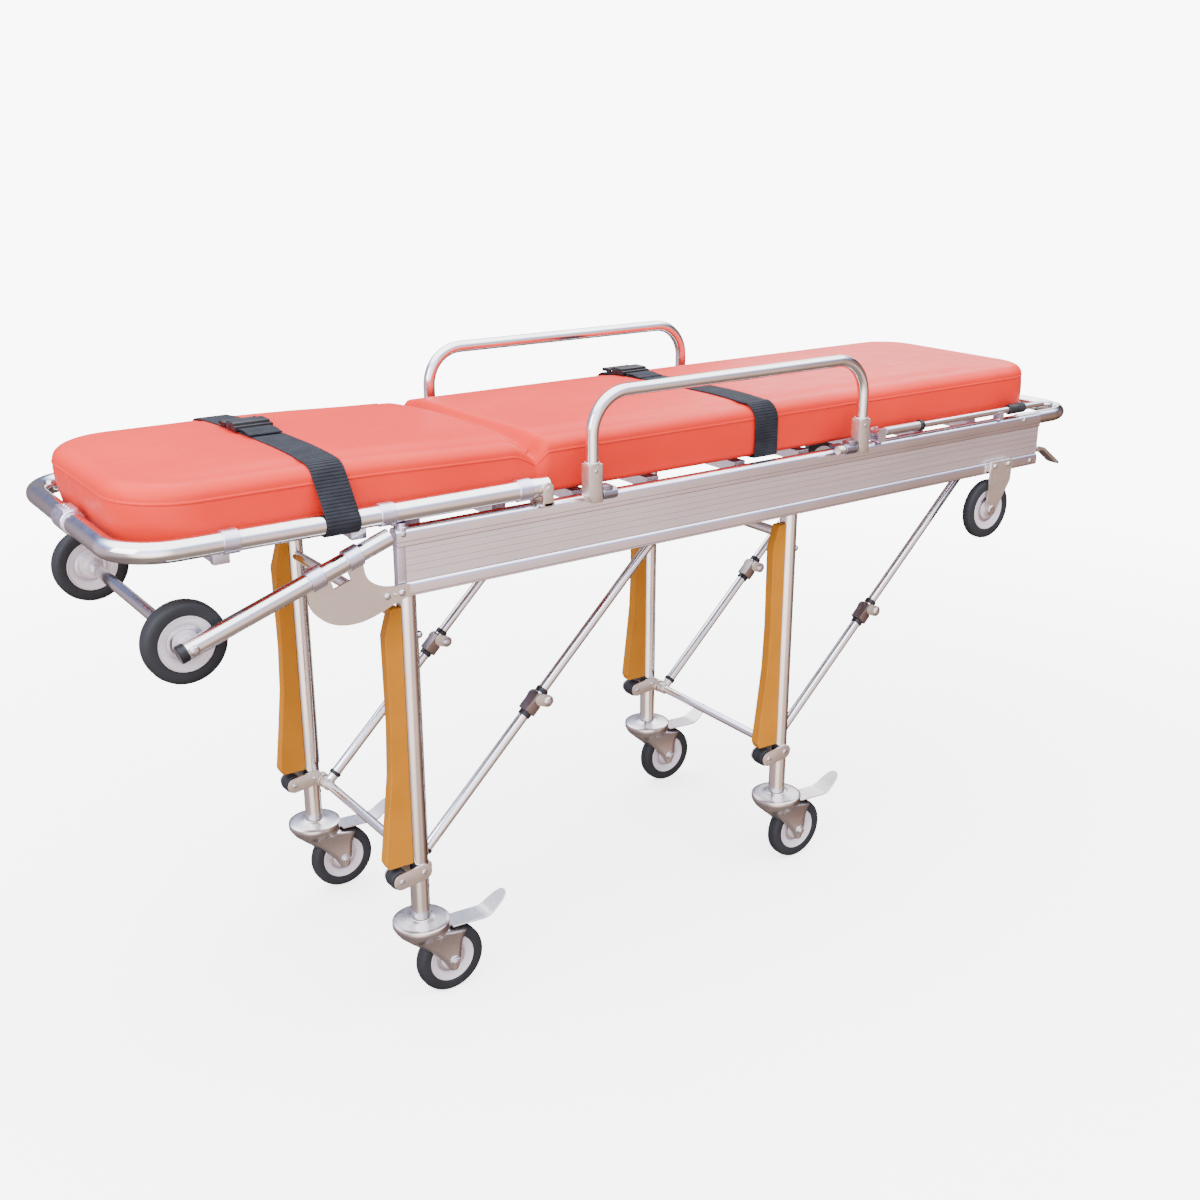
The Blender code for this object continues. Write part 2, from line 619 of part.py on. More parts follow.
def strap(section, centre_x, buckle_y):
    """Webbing strap over the mattress with its buckle."""
    near = strap_side_line(section, GAP)
    far = strap_side_line(section, GAP + STRAP_THICKNESS)
    inner = [(-y, z) for y, z in reversed(near[1:])] + near
    outer = [(-y, z) for y, z in reversed(far[1:])] + far
    outline = inner + list(reversed(outer))
    start_x = centre_x - STRAP_WIDTH / 2
    band = prism([(start_x, y, z) for y, z in outline], (STRAP_WIDTH, 0, 0))
    z = MATTRESS_TOP + GAP + 0.001
    half_x = STRAP_WIDTH / 2 + 0.004
    frame = box((centre_x - half_x, buckle_y - 0.030, z), (centre_x + half_x, buckle_y + 0.010, z + 0.009))
    tongue = box((centre_x - 0.020, buckle_y, z), (centre_x + 0.020, buckle_y + 0.032, z + 0.012))
    return fuse([band, frame, tongue])


# ---- side rails, infusion pole, release handle --------------------------------------

def side_rail(side):
    """Rail hoop with a foot block and hinge pin at each end."""
    y = side * RAIL_Y
    first, last = RAIL_POSTS
    corners = [(first, y, 0.850), (first, y, RAIL_TOP), (last, y, RAIL_TOP), (last, y, 0.850)]
    shapes = [tube(rounded(corners, 0.065), RAIL_RADIUS, 12)]
    for post, inward in ((first, 1), (last, -1)):
        low, high = sorted((side * 0.2490, side * 0.2710))
        shapes.append(box((post - 0.013, low, 0.816), (post + 0.013, high, 0.879)))
        pin = [(post + inward * reach, side * RAIL_PIVOT[0], RAIL_PIVOT[1]) for reach in (0.010, 0.032)]
        shapes.append(tube(pin, 0.004, 10))
    return fuse(shapes)


def rail_hinge(post, inward, side):
    """Barrel beside a rail's foot block, on a plate that sits on the beam."""
    y, z = side * RAIL_PIVOT[0], RAIL_PIVOT[1]
    barrel = tube([(post + inward * 0.0145, y, z), (post + inward * 0.0425, y, z)], 0.0100, 14)
    x_low, x_high = sorted((post + inward * 0.0165, post + inward * 0.0405))
    y_low, y_high = sorted((side * 0.2225, side * 0.2580))
    plate = box((x_low, y_low, BEAM_TOP + GAP), (x_high, y_high, BEAM_TOP + 0.006))
    bore = tube([(post + inward * 0.010, y, z), (post + inward * 0.046, y, z)], 0.0046, 10)
    return fuse([barrel, plate], [bore])


def latch_knob(side):
    """Knob that pulls out of the foot-end hinge barrel to free the rail."""
    y, z = side * RAIL_PIVOT[0], RAIL_PIVOT[1]
    mouth = RAIL_POSTS[1] - 0.0425
    stem = tube([(mouth + 0.005, y, z), (mouth - 0.004, y, z)], 0.0040, 10)
    grip = tube([(mouth - 0.0008, y, z), (mouth - 0.0140, y, z)], 0.0078, 12)
    return fuse([stem, grip])


def pole_bracket():
    """Fork that the infusion pole turns in, joined by a strip to the cradle that it rests on."""
    x, y = POLE_PIVOT_X, POLE_Y
    cradle_x = 0.741
    low = BEAM_TOP + GAP
    shapes = [box((x - 0.009, y - 0.0125, low), (x + 0.009, y + 0.0125, 0.8290))]
    shapes.append(box((x, y - 0.005, low), (cradle_x, y + 0.005, low + 0.002)))
    shapes.append(box((cradle_x - 0.006, y - 0.0085, low), (cradle_x + 0.006, y + 0.0085, 0.8395)))
    for low_y, high_y in ((y - 0.0125, y - 0.0092), (y + 0.0092, y + 0.0125)):
        shapes.append(box((x - 0.009, low_y, low + 0.001), (x + 0.009, high_y, 0.8490)))
    shapes.append(rod((x, POLE_Z), y - 0.0115, y + 0.0115, 0.0030, 10))
    seat = tube([(cradle_x - 0.02, y, POLE_Z), (cradle_x + 0.02, y, POLE_Z)], 0.0067, 12)
    return fuse(shapes, [seat])


def pole_outer():
    """Thick lower tube of the infusion pole with its pivot eye and locking ring."""
    x, y, z = POLE_PIVOT_X, POLE_Y, POLE_Z
    shapes = [tube([(x + 0.004, y, z), (0.560, y, z)], 0.0085, 14)]
    shapes.append(rod((x, z), y - 0.0085, y + 0.0085, 0.0085))
    shapes.append(tube([(0.553, y, z), (0.562, y, z)], 0.0105, 14))
    bores = [tube([(0.425, y, z), (0.570, y, z)], 0.0067, 14), rod((x, z), y - 0.02, y + 0.02, 0.0034, 10)]
    return fuse(shapes, bores)


def pole_inner():
    """Thin upper tube of the infusion pole with grip and bag hook."""
    y, z = POLE_Y, POLE_Z
    shapes = [tube([(0.430, y, z), (0.872, y, z)], 0.0062, 14)]
    shapes.append(tube([(0.774, y, z), (0.819, y, z)], 0.0100, 14))
    ring = [(0.884 + 0.012 * math.cos(a), y + 0.012 * math.sin(a), z)
            for a in (math.radians(180 + 300 * k / 10) for k in range(11))]
    shapes.append(tube(ring, 0.0022, 6))
    return fuse(shapes)


def release_handle():
    """Lever blade at the foot end that frees the legs."""
    x, z = 0.870, 0.748
    y_low, y_high = -0.243, -0.221
    hub = rod((x, z), y_low, y_high, 0.006, 12)
    blade = [(x, z + 0.005), (x + 0.018, z + 0.001), (x + 0.062, z - 0.030), (x + 0.070, z - 0.036),
             (x + 0.068, z - 0.040), (x + 0.058, z - 0.036), (x + 0.015, z - 0.005), (x, z - 0.001)]
    return fuse([hub, side_prism(blade, y_low, y_high)])


# ---- everything ---------------------------------------------------------------------

def build_chassis(root):
    add("bed_frame", bed_frame(), "steel_plate", root)
    add("foot_loop", foot_loop(), "polished_tube", root)
    add("loading_axle", loading_axle(), "polished_tube", root)
    for name, side in SIDES.items():
        add(f"beam_{name}", beam(side), "aluminium", root)
        add(f"loading_strut_{name}", strut(side), "polished_tube", root)
        add(f"strut_plate_{name}", strut_plate(side), "steel_plate", root)
        add(f"transit_bracket_{name}", transit_bracket(side), "steel_plate", root)
        for kind, xz, y, half in (("loading", LOAD_AXLE, LOAD_WHEEL_Y, 0.0122),
                                  ("transit", TRANSIT_AXLE, TRANSIT_WHEEL_Y, 0.0095)):
            hub = body(f"{kind}_wheel_{name}_pivot", at(xz, side * y), root)
            add(f"{kind}_wheel_{name}", wheel(xz, side * y, half), "rubber", hub)


def build_rails(root):
    first, last = RAIL_POSTS
    for name, side in SIDES.items():
        pivot = body(f"side_rail_{name}_pivot", (first, side * RAIL_PIVOT[0], RAIL_PIVOT[1]), root)
        add(f"side_rail_{name}", side_rail(side), "polished_tube", pivot)
        add(f"rail_hinge_head_{name}", rail_hinge(first, 1, side), "steel_plate", root)
        add(f"rail_hinge_foot_{name}", rail_hinge(last, -1, side), "steel_plate", root)
        knob = body(f"latch_knob_{name}_slide", (last - 0.0425, side * RAIL_PIVOT[0], RAIL_PIVOT[1]), root)
        add(f"latch_knob_{name}", latch_knob(side), "steel_plate", knob)


def build_pole(root):
    add("pole_bracket", pole_bracket(), "steel_plate", root)
    outer = body("pole_outer_pivot", (POLE_PIVOT_X, POLE_Y, POLE_Z), root)
    add("pole_outer", pole_outer(), "polished_tube", outer)
    inner = body("pole_inner_slide", (0.562, POLE_Y, POLE_Z), outer)
    add("pole_inner", pole_inner(), "polished_tube", inner)


def build_bed(root):
    add("mattress_seat", mattress("seat"), "vinyl", root)
    add("strap_seat", strap("seat", SEAT_STRAP_X, 0.150), "webbing", root)
    back = body("back_section_pivot", at(BACK_PIVOT, 0), root)
    add("back_frame", back_frame(), "polished_tube", back)
    add("mattress_back", mattress("back"), "vinyl", back)
    add("strap_back", strap("back", BACK_STRAP_X, 0.050), "webbing", back)


def build_caster(end, name, leg_x, side, leg):
    y = side * LEG_Y
    label = f"{end}_{name}"
    swivel = body(f"caster_{label}_swivel", (leg_x, y, LEG_FOOT_Z), leg)
    add(f"caster_fork_{label}", caster_fork(leg_x, y), "steel_plate", swivel)
    axle = (leg_x + CASTER_TRAIL, WHEEL_RADIUS)
    hub = body(f"caster_wheel_{label}_pivot", at(axle, y), swivel)
    add(f"caster_wheel_{label}", wheel(axle, y, 0.0125), "rubber", hub)
    hinge = body(f"brake_pedal_{label}_pivot", (leg_x + 0.052, y, 0.1265), swivel)
    add(f"brake_pedal_{label}", caster_pedal(leg_x, y), "steel_plate", hinge)


def build_legs(root):
    for end, leg_x in LEGS.items():
        leg = body(f"leg_frame_{end}_pivot", (leg_x, 0, LEG_PIVOT_Z), root)
        add(f"leg_frame_{end}", leg_frame(leg_x), "polished_tube", leg)
        tie, _, knee_pivot, _, _ = brace_points(leg_x)
        lower = body(f"lower_brace_{end}_pivot", at(tie, 0), leg)
        add(f"lower_brace_frame_{end}", lower_brace_frame(leg_x), "polished_tube", lower)
        for name, side in SIDES.items():
            add(f"leg_guard_{end}_{name}", guard(leg_x, side), "guard_plastic", leg)
            centre = (leg_x + ROLLER_OFFSET[0], ROLLER_OFFSET[1])
            spindle = body(f"roller_{end}_{name}_pivot", at(centre, side * LEG_Y), leg)
            add(f"roller_{end}_{name}", roller(leg_x, side), "rubber", spindle)
            knee = body(f"upper_brace_{end}_{name}_pivot", at(knee_pivot, side * BRACE_Y), lower)
            add(f"upper_brace_{end}_{name}", upper_brace(leg_x, side), "polished_tube", knee)
            build_caster(end, name, leg_x, side, leg)


def build():
    clear_scene()
    root = body("chassis", (0, 0, 0))
    build_chassis(root)
    build_rails(root)
    build_pole(root)
    build_bed(root)
    build_legs(root)
    handle = body("release_handle_pivot", (0.870, -0.232, 0.748), root)
    add("release_handle", release_handle(), "steel_plate", handle)


build()
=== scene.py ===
"""The looks of the ambulance cot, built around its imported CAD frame.

-X is the head end, +X the foot end, -Y the patient's right, and the floor is z = 0.
"""
import math

import bmesh
import bpy
from mathutils import Matrix, Vector, noise


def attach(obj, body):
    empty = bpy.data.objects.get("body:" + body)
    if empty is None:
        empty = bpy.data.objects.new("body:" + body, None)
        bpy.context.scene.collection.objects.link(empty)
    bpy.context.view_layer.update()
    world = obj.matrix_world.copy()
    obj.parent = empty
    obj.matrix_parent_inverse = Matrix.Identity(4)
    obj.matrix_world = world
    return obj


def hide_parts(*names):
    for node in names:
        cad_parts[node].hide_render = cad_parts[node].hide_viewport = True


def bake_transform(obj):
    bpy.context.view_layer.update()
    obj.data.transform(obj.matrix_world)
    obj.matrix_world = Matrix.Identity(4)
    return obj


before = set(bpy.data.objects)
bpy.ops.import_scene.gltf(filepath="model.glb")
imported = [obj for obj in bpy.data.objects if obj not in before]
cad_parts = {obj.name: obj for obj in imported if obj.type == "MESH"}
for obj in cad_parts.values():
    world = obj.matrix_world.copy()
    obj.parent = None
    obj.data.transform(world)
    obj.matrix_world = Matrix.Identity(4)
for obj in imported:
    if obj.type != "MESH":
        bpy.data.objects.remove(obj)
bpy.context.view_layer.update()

SIDES = {"right": -1, "left": 1}
LEGS = {"front": -0.559, "rear": 0.219}

# Chassis
BEAM = {"start": -0.588, "end": 0.862, "top": 0.8237, "bottom": 0.7188, "outer": 0.245}
LOW_RAIL_INNER = 0.2295
LOW_RAIL_ROUND = 0.0125
LINE_DEPTH, LINE_PROUD, LINE_SHORT = 0.0008, 0.00004, 0.0004
WEB = {"outer": 0.2425, "inner": 0.2365, "low": 0.7438, "high": 0.7967}
TOP_RAIL_INNER = 0.2225
# Dark strips sunk into the beam along its grooves and seams, as (y, z, half height): painted shade for the
# shadow inside the grooves.
BEAM_GROOVE_SHADE = (
    (0.2425, 0.7560, 0.00022), (0.2425, 0.7665, 0.00022), (0.2425, 0.7770, 0.00022),
    (0.2425, 0.7875, 0.00022),
    (0.2446, 0.7970, 0.0007), (0.245, 0.8040, 0.0004), (0.245, 0.7228, 0.0005))

STRUT_PLATE_LOWER = (
    (-0.735, 0.7610), (-0.7320, 0.7330), (-0.715, 0.7125), (-0.695, 0.7005), (-0.673, 0.6960),
    (-0.648, 0.6970), (-0.622, 0.7045), (-0.598, 0.7150), (-0.572, 0.7225))
STRUT_PLATE_UPPER = (
    (-0.572, 0.7400), (-0.590, 0.7405), (-0.612, 0.7425), (-0.630, 0.7510), (-0.643, 0.7640),
    (-0.646, 0.7920))
STRUT_SLOT = (-0.6810, 0.7655)

# Legs and braces
LEG_Y = 0.2075
LEG_RADIUS = 0.0155
UPPER_TIE_Z = 0.668
ROLLER_OFFSET = (-0.039, 0.237)
BRACE_Y = 0.172
TIE_OFFSET = (0.016, 0.234)
ANCHOR_OFFSET = (0.522, 0.728)
KNEE_SHARE = 0.478
KNEE_DROP = 0.014

# Wheels
WHEEL_RADIUS = 0.0594
CASTER_TRAIL = 0.0495
LOAD_AXLE = (-0.903, 0.7114)
LOAD_WHEEL_Y = 0.217
TRANSIT_AXLE = (0.725, 0.645)
TRANSIT_WHEEL_Y = 0.2373

# Back section, mattress and straps
BACK_PIVOT = (-0.33, 0.848)
HOOKS = (-0.845, -0.640)
HINGE_EARS = ((0.2163, 0.2188), (0.2515, 0.2545))
BACK_TUBE = {"radius": 0.0155, "y": 0.235, "head": -0.9805}
MATTRESS = {"head": -0.955, "foot": 0.888, "half": 0.2145, "bottom": 0.829, "top": 0.9165, "crown": 0.0085}
MATTRESS_CORNER = {"head": 0.105, "foot": 0.092}
MATTRESS_EDGE = 0.028
PIPING_Z = 0.8955
CREASE = {"x": -0.338, "slant": -0.060}
STRAPS = {"back": -0.683, "seat": 0.13}
STRAP_SLANT = {"back": -0.045, "seat": -0.075}
RIB_STEP = 0.0005
STRAP = {"width": 0.052, "thickness": 0.0024, "rib": 0.0052, "groove": 0.0010}

# Side rails and infusion pole
RAIL_POSTS = (-0.2523, 0.3351)
RAIL_Y = 0.26
RAIL_TOP = 0.9875
RAIL_RADIUS = 0.0105
RAIL_PIVOT = (0.262, 0.828)
RAIL_FOOT = ((-0.0132, 0.8790), (-0.0132, 0.8300), (-0.0060, 0.8165), (0.0142, 0.8165), (0.0142, 0.8210),
             (0.0128, 0.8280), (0.0132, 0.8790))
POLE = {"y": -0.2365, "z": 0.840, "pivot": 0.405}

# Light and materials
NOISE_LOW, NOISE_HIGH = 0.3, 0.7
BACKGROUND = (1.0, 1.0, 1.005)
BACKGROUND_STRENGTH = 9.0
FLOOR_COLOUR = (0.95, 0.95, 0.95, 1)
FLOOR_GLOW = 2.7
FLOOR_FADE = (1.2, 3.4)
SKY_STRENGTH = 6.0
CEILING_FROM, CEILING_FULL = 0.42, 0.60
SKY_BY_HEIGHT = (
    (-1.00, (0.075, 0.060, 0.052)), (-0.62, (0.090, 0.070, 0.060)), (-0.42, (0.200, 0.155, 0.130)),
    (-0.30, (0.270, 0.230, 0.215)), (0.05, (0.290, 0.255, 0.250)), (0.22, (0.260, 0.230, 0.250)),
    (0.36, (0.150, 0.200, 0.360)), (0.55, (0.320, 0.380, 0.520)), (0.68, (0.95, 0.97, 1.0)))
SKY_SIDES = {
    (0.816, -0.578, 0.0): (
        (-1.00, (0.60, 0.57, 0.68)), (-0.55, (0.75, 0.75, 0.85)), (-0.20, (1.0, 1.0, 1.0)),
        (0.50, (1.0, 1.0, 1.0)), (0.80, (1.12, 1.01, 0.99)), (1.00, (1.00, 0.88, 0.82))),
    (0.578, 0.816, 0.0): (
        (-1.00, (2.6, 2.6, 2.6)), (-0.88, (2.2, 2.2, 2.2)), (-0.74, (0.85, 0.85, 0.85)),
        (0.35, (0.85, 0.85, 0.85)), (0.62, (0.32, 0.30, 0.31)), (0.95, (0.22, 0.21, 0.22))),
    (1.0, 0.0, 0.0): (
        (-1.00, (1.0, 1.0, 1.0)), (0.56, (1.0, 1.0, 1.0)), (0.72, (0.42, 0.34, 0.30)),
        (0.90, (0.20, 0.15, 0.13)), (1.00, (0.30, 0.26, 0.25)))}


# ---- camera and light ---------------------------------------------------------------

def make_camera():
    camera = bpy.data.cameras.new("camera")
    camera.lens = 42.12
    camera.sensor_width = 36.0
    ob = bpy.data.objects.new("camera", camera)
    ob.location = (-1.47778, -2.00878, 1.39672)
    ob.rotation_euler = (math.radians(90 - 19.188), 0, math.radians(-35.3505))
    bpy.context.scene.collection.objects.link(ob)
    bpy.context.scene.camera = ob


def area_light(name, place, target, size, power, colour):
    lamp = bpy.data.lights.new(name, "AREA")
    lamp.shape = "RECTANGLE"
    lamp.size, lamp.size_y = size
    lamp.energy = power
    lamp.color = colour
    ob = bpy.data.objects.new(name, lamp)
    ob.location = place
    ob.rotation_euler = (Vector(target) - Vector(place)).to_track_quat("-Z", "Y").to_euler()
    bpy.context.scene.collection.objects.link(ob)


def node(tree, kind, inputs):
    """A shader node; each input is set to a value or linked to another node's output."""
    made = tree.nodes.new("ShaderNode" + kind)
    for socket, value in inputs.items():
        if isinstance(value, bpy.types.NodeSocket):
            tree.links.new(value, made.inputs[socket])
        else:
            made.inputs[socket].default_value = value
    return made


def ramp_node(tree, stops):
    ramp = tree.nodes.new("ShaderNodeValToRGB")
    while len(ramp.color_ramp.elements) < len(stops):
        ramp.color_ramp.elements.new(0.5)
    for element, (place, colour) in zip(ramp.color_ramp.elements, stops):
        element.position = place
        element.color = (*colour, 1.0)
    return ramp


def direction_ramp(tree, value, stops):
    """Colours that follow a value between -1 and 1."""
    height = node(tree, "MapRange", {"From Min": -1.0, "Value": value})
    ramp = ramp_node(tree, [((place + 1) / 2, colour) for place, colour in stops])
    tree.links.new(height.outputs["Result"], ramp.inputs["Fac"])
    return ramp.outputs["Color"]


def mixed(tree, kind, factor, first, second):
    """A colour mix; the factor is a number or another node's output."""
    blend = tree.nodes.new("ShaderNodeMix")
    blend.data_type = "RGBA"
    blend.blend_type = kind
    if isinstance(factor, float):
        blend.inputs["Factor"].default_value = factor
    else:
        tree.links.new(factor, blend.inputs["Factor"])
    tree.links.new(first, blend.inputs["A"])
    tree.links.new(second, blend.inputs["B"])
    return blend.outputs["Result"]


def make_world():
    """A white ceiling over warm, cool and dim bands that the metals mirror."""
    world = bpy.data.worlds.new("studio")
    bpy.context.scene.world = world
    world.use_nodes = True
    tree = world.node_tree
    tree.nodes.clear()
    where = tree.nodes.new("ShaderNodeTexCoord").outputs["Generated"]
    height = node(tree, "SeparateXYZ", {0: where}).outputs["Z"]
    by_height = direction_ramp(tree, height, SKY_BY_HEIGHT)
    walls = by_height
    for axis, stops in SKY_SIDES.items():
        along = node(tree, "VectorMath", {0: where, 1: axis})
        along.operation = "DOT_PRODUCT"
        walls = mixed(tree, "MULTIPLY", 1.0, walls, direction_ramp(tree, along.outputs["Value"], stops))
    ceiling = node(tree, "MapRange", {"From Min": CEILING_FROM, "From Max": CEILING_FULL, "Value": height})
    sky = mixed(tree, "MIX", ceiling.outputs["Result"], walls, by_height)
    studio = node(tree, "Background", {"Strength": SKY_STRENGTH, "Color": sky})
    plain = node(tree, "Background", {"Color": (*BACKGROUND, 1.0), "Strength": BACKGROUND_STRENGTH})
    seen = tree.nodes.new("ShaderNodeLightPath").outputs["Is Camera Ray"]
    node(tree, "OutputWorld", {"Surface": shader_mix(tree, seen, studio.outputs[0], plain.outputs[0])})


def glow(tree, strength):
    return node(tree, "Emission", {"Color": (*BACKGROUND, 1), "Strength": strength}).outputs[0]


def shader_mix(tree, factor, first, second):
    return node(tree, "MixShader", {"Fac": factor, 1: first, 2: second}).outputs[0]


def make_floor():
    """A pale floor that catches the shadows and fades into the background further out."""
    bm = bmesh.new()
    bmesh.ops.create_grid(bm, x_segments=4, y_segments=4, size=30)
    mesh = bpy.data.meshes.new("floor")
    bm.to_mesh(mesh)
    bm.free()
    ob = bpy.data.objects.new("floor", mesh)
    bpy.context.scene.collection.objects.link(ob)
    paint = bpy.data.materials.new("floor_paint")
    paint.use_nodes = True
    tree = paint.node_tree
    tree.nodes.clear()
    where = tree.nodes.new("ShaderNodeTexCoord").outputs["Object"]
    length = node(tree, "VectorMath", {0: where})
    length.operation = "LENGTH"
    near, far = FLOOR_FADE
    fade = node(tree, "MapRange", {"From Min": near, "From Max": far, "Value": length.outputs["Value"]})
    fade.interpolation_type = "SMOOTHSTEP"
    matt = node(tree, "BsdfDiffuse", {"Color": FLOOR_COLOUR})
    lit = node(tree, "AddShader", {0: matt.outputs[0], 1: glow(tree, FLOOR_GLOW)})
    clear = tree.nodes.new("ShaderNodeBsdfTransparent")
    seen = tree.nodes.new("ShaderNodeLightPath").outputs["Is Camera Ray"]
    faded = shader_mix(tree, fade.outputs["Result"], lit.outputs[0], glow(tree, BACKGROUND_STRENGTH))
    node(tree, "OutputMaterial", {"Surface": shader_mix(tree, seen, clear.outputs[0], faded)})
    mesh.materials.append(paint)


def make_lights():
    area_light("key", (-3.2, -0.5, 1.9), (0, 0, 0.6), (2.0, 1.6), 75, (1.0, 0.99, 0.97))
    area_light("rim", (3.6, 2.6, 2.4), (0.2, 0, 0.7), (2.0, 2.0), 50, (1.0, 0.96, 0.93))


# ---- materials ----------------------------------------------------------------------

def new_surface(name, roughness, metallic=0.0, **sockets):
    made = bpy.data.materials.new(name)
    made.use_nodes = True
    shader = made.node_tree.nodes["Principled BSDF"]
    shader.inputs["Metallic"].default_value = metallic
    shader.inputs["Roughness"].default_value = roughness
    for socket, value in sockets.items():
        shader.inputs[socket.replace("_", " ")].default_value = value
    return made, made.node_tree, shader


def texture_space(tree, stretch=(1, 1, 1)):
    """Object coordinates, stretched along an axis for brushed or woven surfaces."""
    where = tree.nodes.new("ShaderNodeTexCoord").outputs["Object"]
    return node(tree, "Mapping", {"Scale": stretch, "Vector": where}).outputs["Vector"]


def noise_node(tree, space, scale, detail=3.0):
    return node(tree, "TexNoise", {"Scale": scale, "Detail": detail, "Vector": space}).outputs["Fac"]


def tint(tree, shader, factor, dark, light):
    """Colour that wanders between two close tones."""
    ramp = ramp_node(tree, ((NOISE_LOW, dark), (NOISE_HIGH, light)))
    tree.links.new(factor, ramp.inputs["Fac"])
    tree.links.new(ramp.outputs["Color"], shader.inputs["Base Color"])


def span(tree, factor, low, high, socket):
    """Roughness that wanders between two values."""
    value = node(tree, "MapRange", {"From Min": NOISE_LOW, "From Max": NOISE_HIGH,
                                    "To Min": low, "To Max": high, "Value": factor})
    tree.links.new(value.outputs["Result"], socket)


def bump(tree, shader, factor, strength, distance):
    made = node(tree, "Bump", {"Strength": strength, "Distance": distance, "Height": factor})
    if shader.inputs["Normal"].is_linked:
        before = shader.inputs["Normal"].links[0].from_socket
        tree.links.new(before, made.inputs["Normal"])
    tree.links.new(made.outputs["Normal"], shader.inputs["Normal"])


def metal(name, dark, light, rough, grain, stretch=(1, 1, 1), relief=0.12):
    """Bare or plated metal with faint handling marks in its gloss."""
    made, tree, shader = new_surface(name, rough[0], 1.0)
    wide = noise_node(tree, texture_space(tree), 9.0)
    fine = noise_node(tree, texture_space(tree, stretch), grain, 4.0)
    tint(tree, shader, wide, dark, light)
    span(tree, fine, *rough, shader.inputs["Roughness"])
    bump(tree, shader, fine, relief, 0.00001)
    return made


def plastic(name, dark, light, rough, grain, depth, **sockets):
    """Moulded plastic, paint or rubber with a fine skin texture."""
    made, tree, shader = new_surface(name, rough[0], **sockets)
    wide = noise_node(tree, texture_space(tree), 14.0)
    fine = noise_node(tree, texture_space(tree), grain, 2.0)
    tint(tree, shader, wide, dark, light)
    span(tree, wide, *rough, shader.inputs["Roughness"])
    bump(tree, shader, fine, 0.5, depth)
    return made


def leather_grain():
    """Soft coated upholstery: pebbled grain, faint scuffs and a slow drift of tone."""
    made, tree, shader = new_surface("orange_vinyl", 0.42, Specular_IOR_Level=0.16, Sheen_Weight=0.02,
                                     Sheen_Roughness=0.45)
    shader.inputs["Sheen Tint"].default_value = (1.0, 0.60, 0.55, 1.0)
    space = texture_space(tree)
    wide = noise_node(tree, space, 5.0)
    tint(tree, shader, wide, (0.60, 0.018, 0.009), (0.66, 0.024, 0.012))
    scuff = noise_node(tree, texture_space(tree, (1, 4, 4)), 22.0, 5.0)
    span(tree, scuff, 0.36, 0.47, shader.inputs["Roughness"])
    pebble = node(tree, "TexVoronoi", {"Scale": 620.0, "Vector": space})
    bump(tree, shader, pebble.outputs["Distance"], 0.28, 0.0002)
    bump(tree, shader, noise_node(tree, space, 60.0, 4.0), 0.25, 0.0006)
    return made


def woven_webbing():
    """Dark woven strap: picks across it and finer yarns along it."""
    made, tree, shader = new_surface("strap_webbing", 0.72, Specular_IOR_Level=0.20, Sheen_Weight=0.03,
                                     Sheen_Roughness=0.5)
    shader.inputs["Sheen Tint"].default_value = (0.60, 0.66, 0.80, 1.0)
    space = texture_space(tree)
    wide = noise_node(tree, space, 40.0)
    tint(tree, shader, wide, (0.009, 0.010, 0.014), (0.018, 0.020, 0.026))
    yarns = node(tree, "TexWave", {"Scale": 210.0, "Distortion": 0.6, "Detail Scale": 2.0, "Vector": space})
    yarns.bands_direction = "X"
    bump(tree, shader, yarns.outputs["Fac"], 0.6, 0.0003)
    bump(tree, shader, noise_node(tree, space, 900.0, 2.0), 0.4, 0.0002)
    return made


def make_materials():
    return {
        "tube": metal("polished_tube", (0.76, 0.75, 0.75), (0.84, 0.83, 0.84), (0.12, 0.19), 60.0),
        "rail": metal("rail_aluminium", (0.72, 0.70, 0.76), (0.80, 0.78, 0.84), (0.18, 0.27), 90.0,
                      (0.04, 8.0, 8.0)),
        "beam": metal("beam_aluminium", (0.84, 0.82, 0.90), (0.90, 0.88, 0.96), (0.30, 0.42), 90.0,
                      (0.04, 8.0, 8.0)),
        "plate": metal("plated_steel", (0.62, 0.56, 0.50), (0.72, 0.66, 0.60), (0.36, 0.50), 220.0),
        "band": metal("band_metal", (0.60, 0.59, 0.72), (0.70, 0.69, 0.82), (0.26, 0.38), 200.0),
        "hinge": metal("hinge_metal", (0.26, 0.25, 0.32), (0.33, 0.32, 0.40), (0.26, 0.36), 200.0),
        "cast": metal("cast_alloy", (0.58, 0.54, 0.55), (0.64, 0.60, 0.61), (0.26, 0.32), 130.0,
                      relief=0.02),
        "bolt": metal("bolt_steel", (0.50, 0.48, 0.50), (0.62, 0.60, 0.62), (0.22, 0.36), 300.0),
        # Dark steel for the knee blocks; the beam's groove strips use the same material as painted shade.
        "dark_steel_and_groove_shade": metal("dark_steel_and_groove_shade", (0.20, 0.16, 0.15), (0.28, 0.23, 0.22), (0.30, 0.45), 240.0),
        "guard": plastic("guard_plastic", (0.38, 0.140, 0.004), (0.44, 0.165, 0.006), (0.40, 0.52), 420.0,
                         0.00012, Specular_IOR_Level=0.22),
        "black": plastic("black_plastic", (0.008, 0.008, 0.010), (0.016, 0.015, 0.017), (0.30, 0.44),
                         700.0, 0.0001, Specular_IOR_Level=0.30),
        "tyre": plastic("tyre_rubber", (0.010, 0.011, 0.013), (0.020, 0.021, 0.024), (0.55, 0.72), 520.0,
                        0.0002, Specular_IOR_Level=0.30),
        "rim": plastic("rim_paint", (0.56, 0.51, 0.53), (0.64, 0.59, 0.61), (0.26, 0.38), 260.0, 0.00006,
                       Coat_Weight=0.3),
        "vinyl": leather_grain(),
        "webbing": woven_webbing(),
    }


# ---- shapes -------------------------------------------------------------------------

def at(xz, y):
    return Vector((xz[0], y, xz[1]))


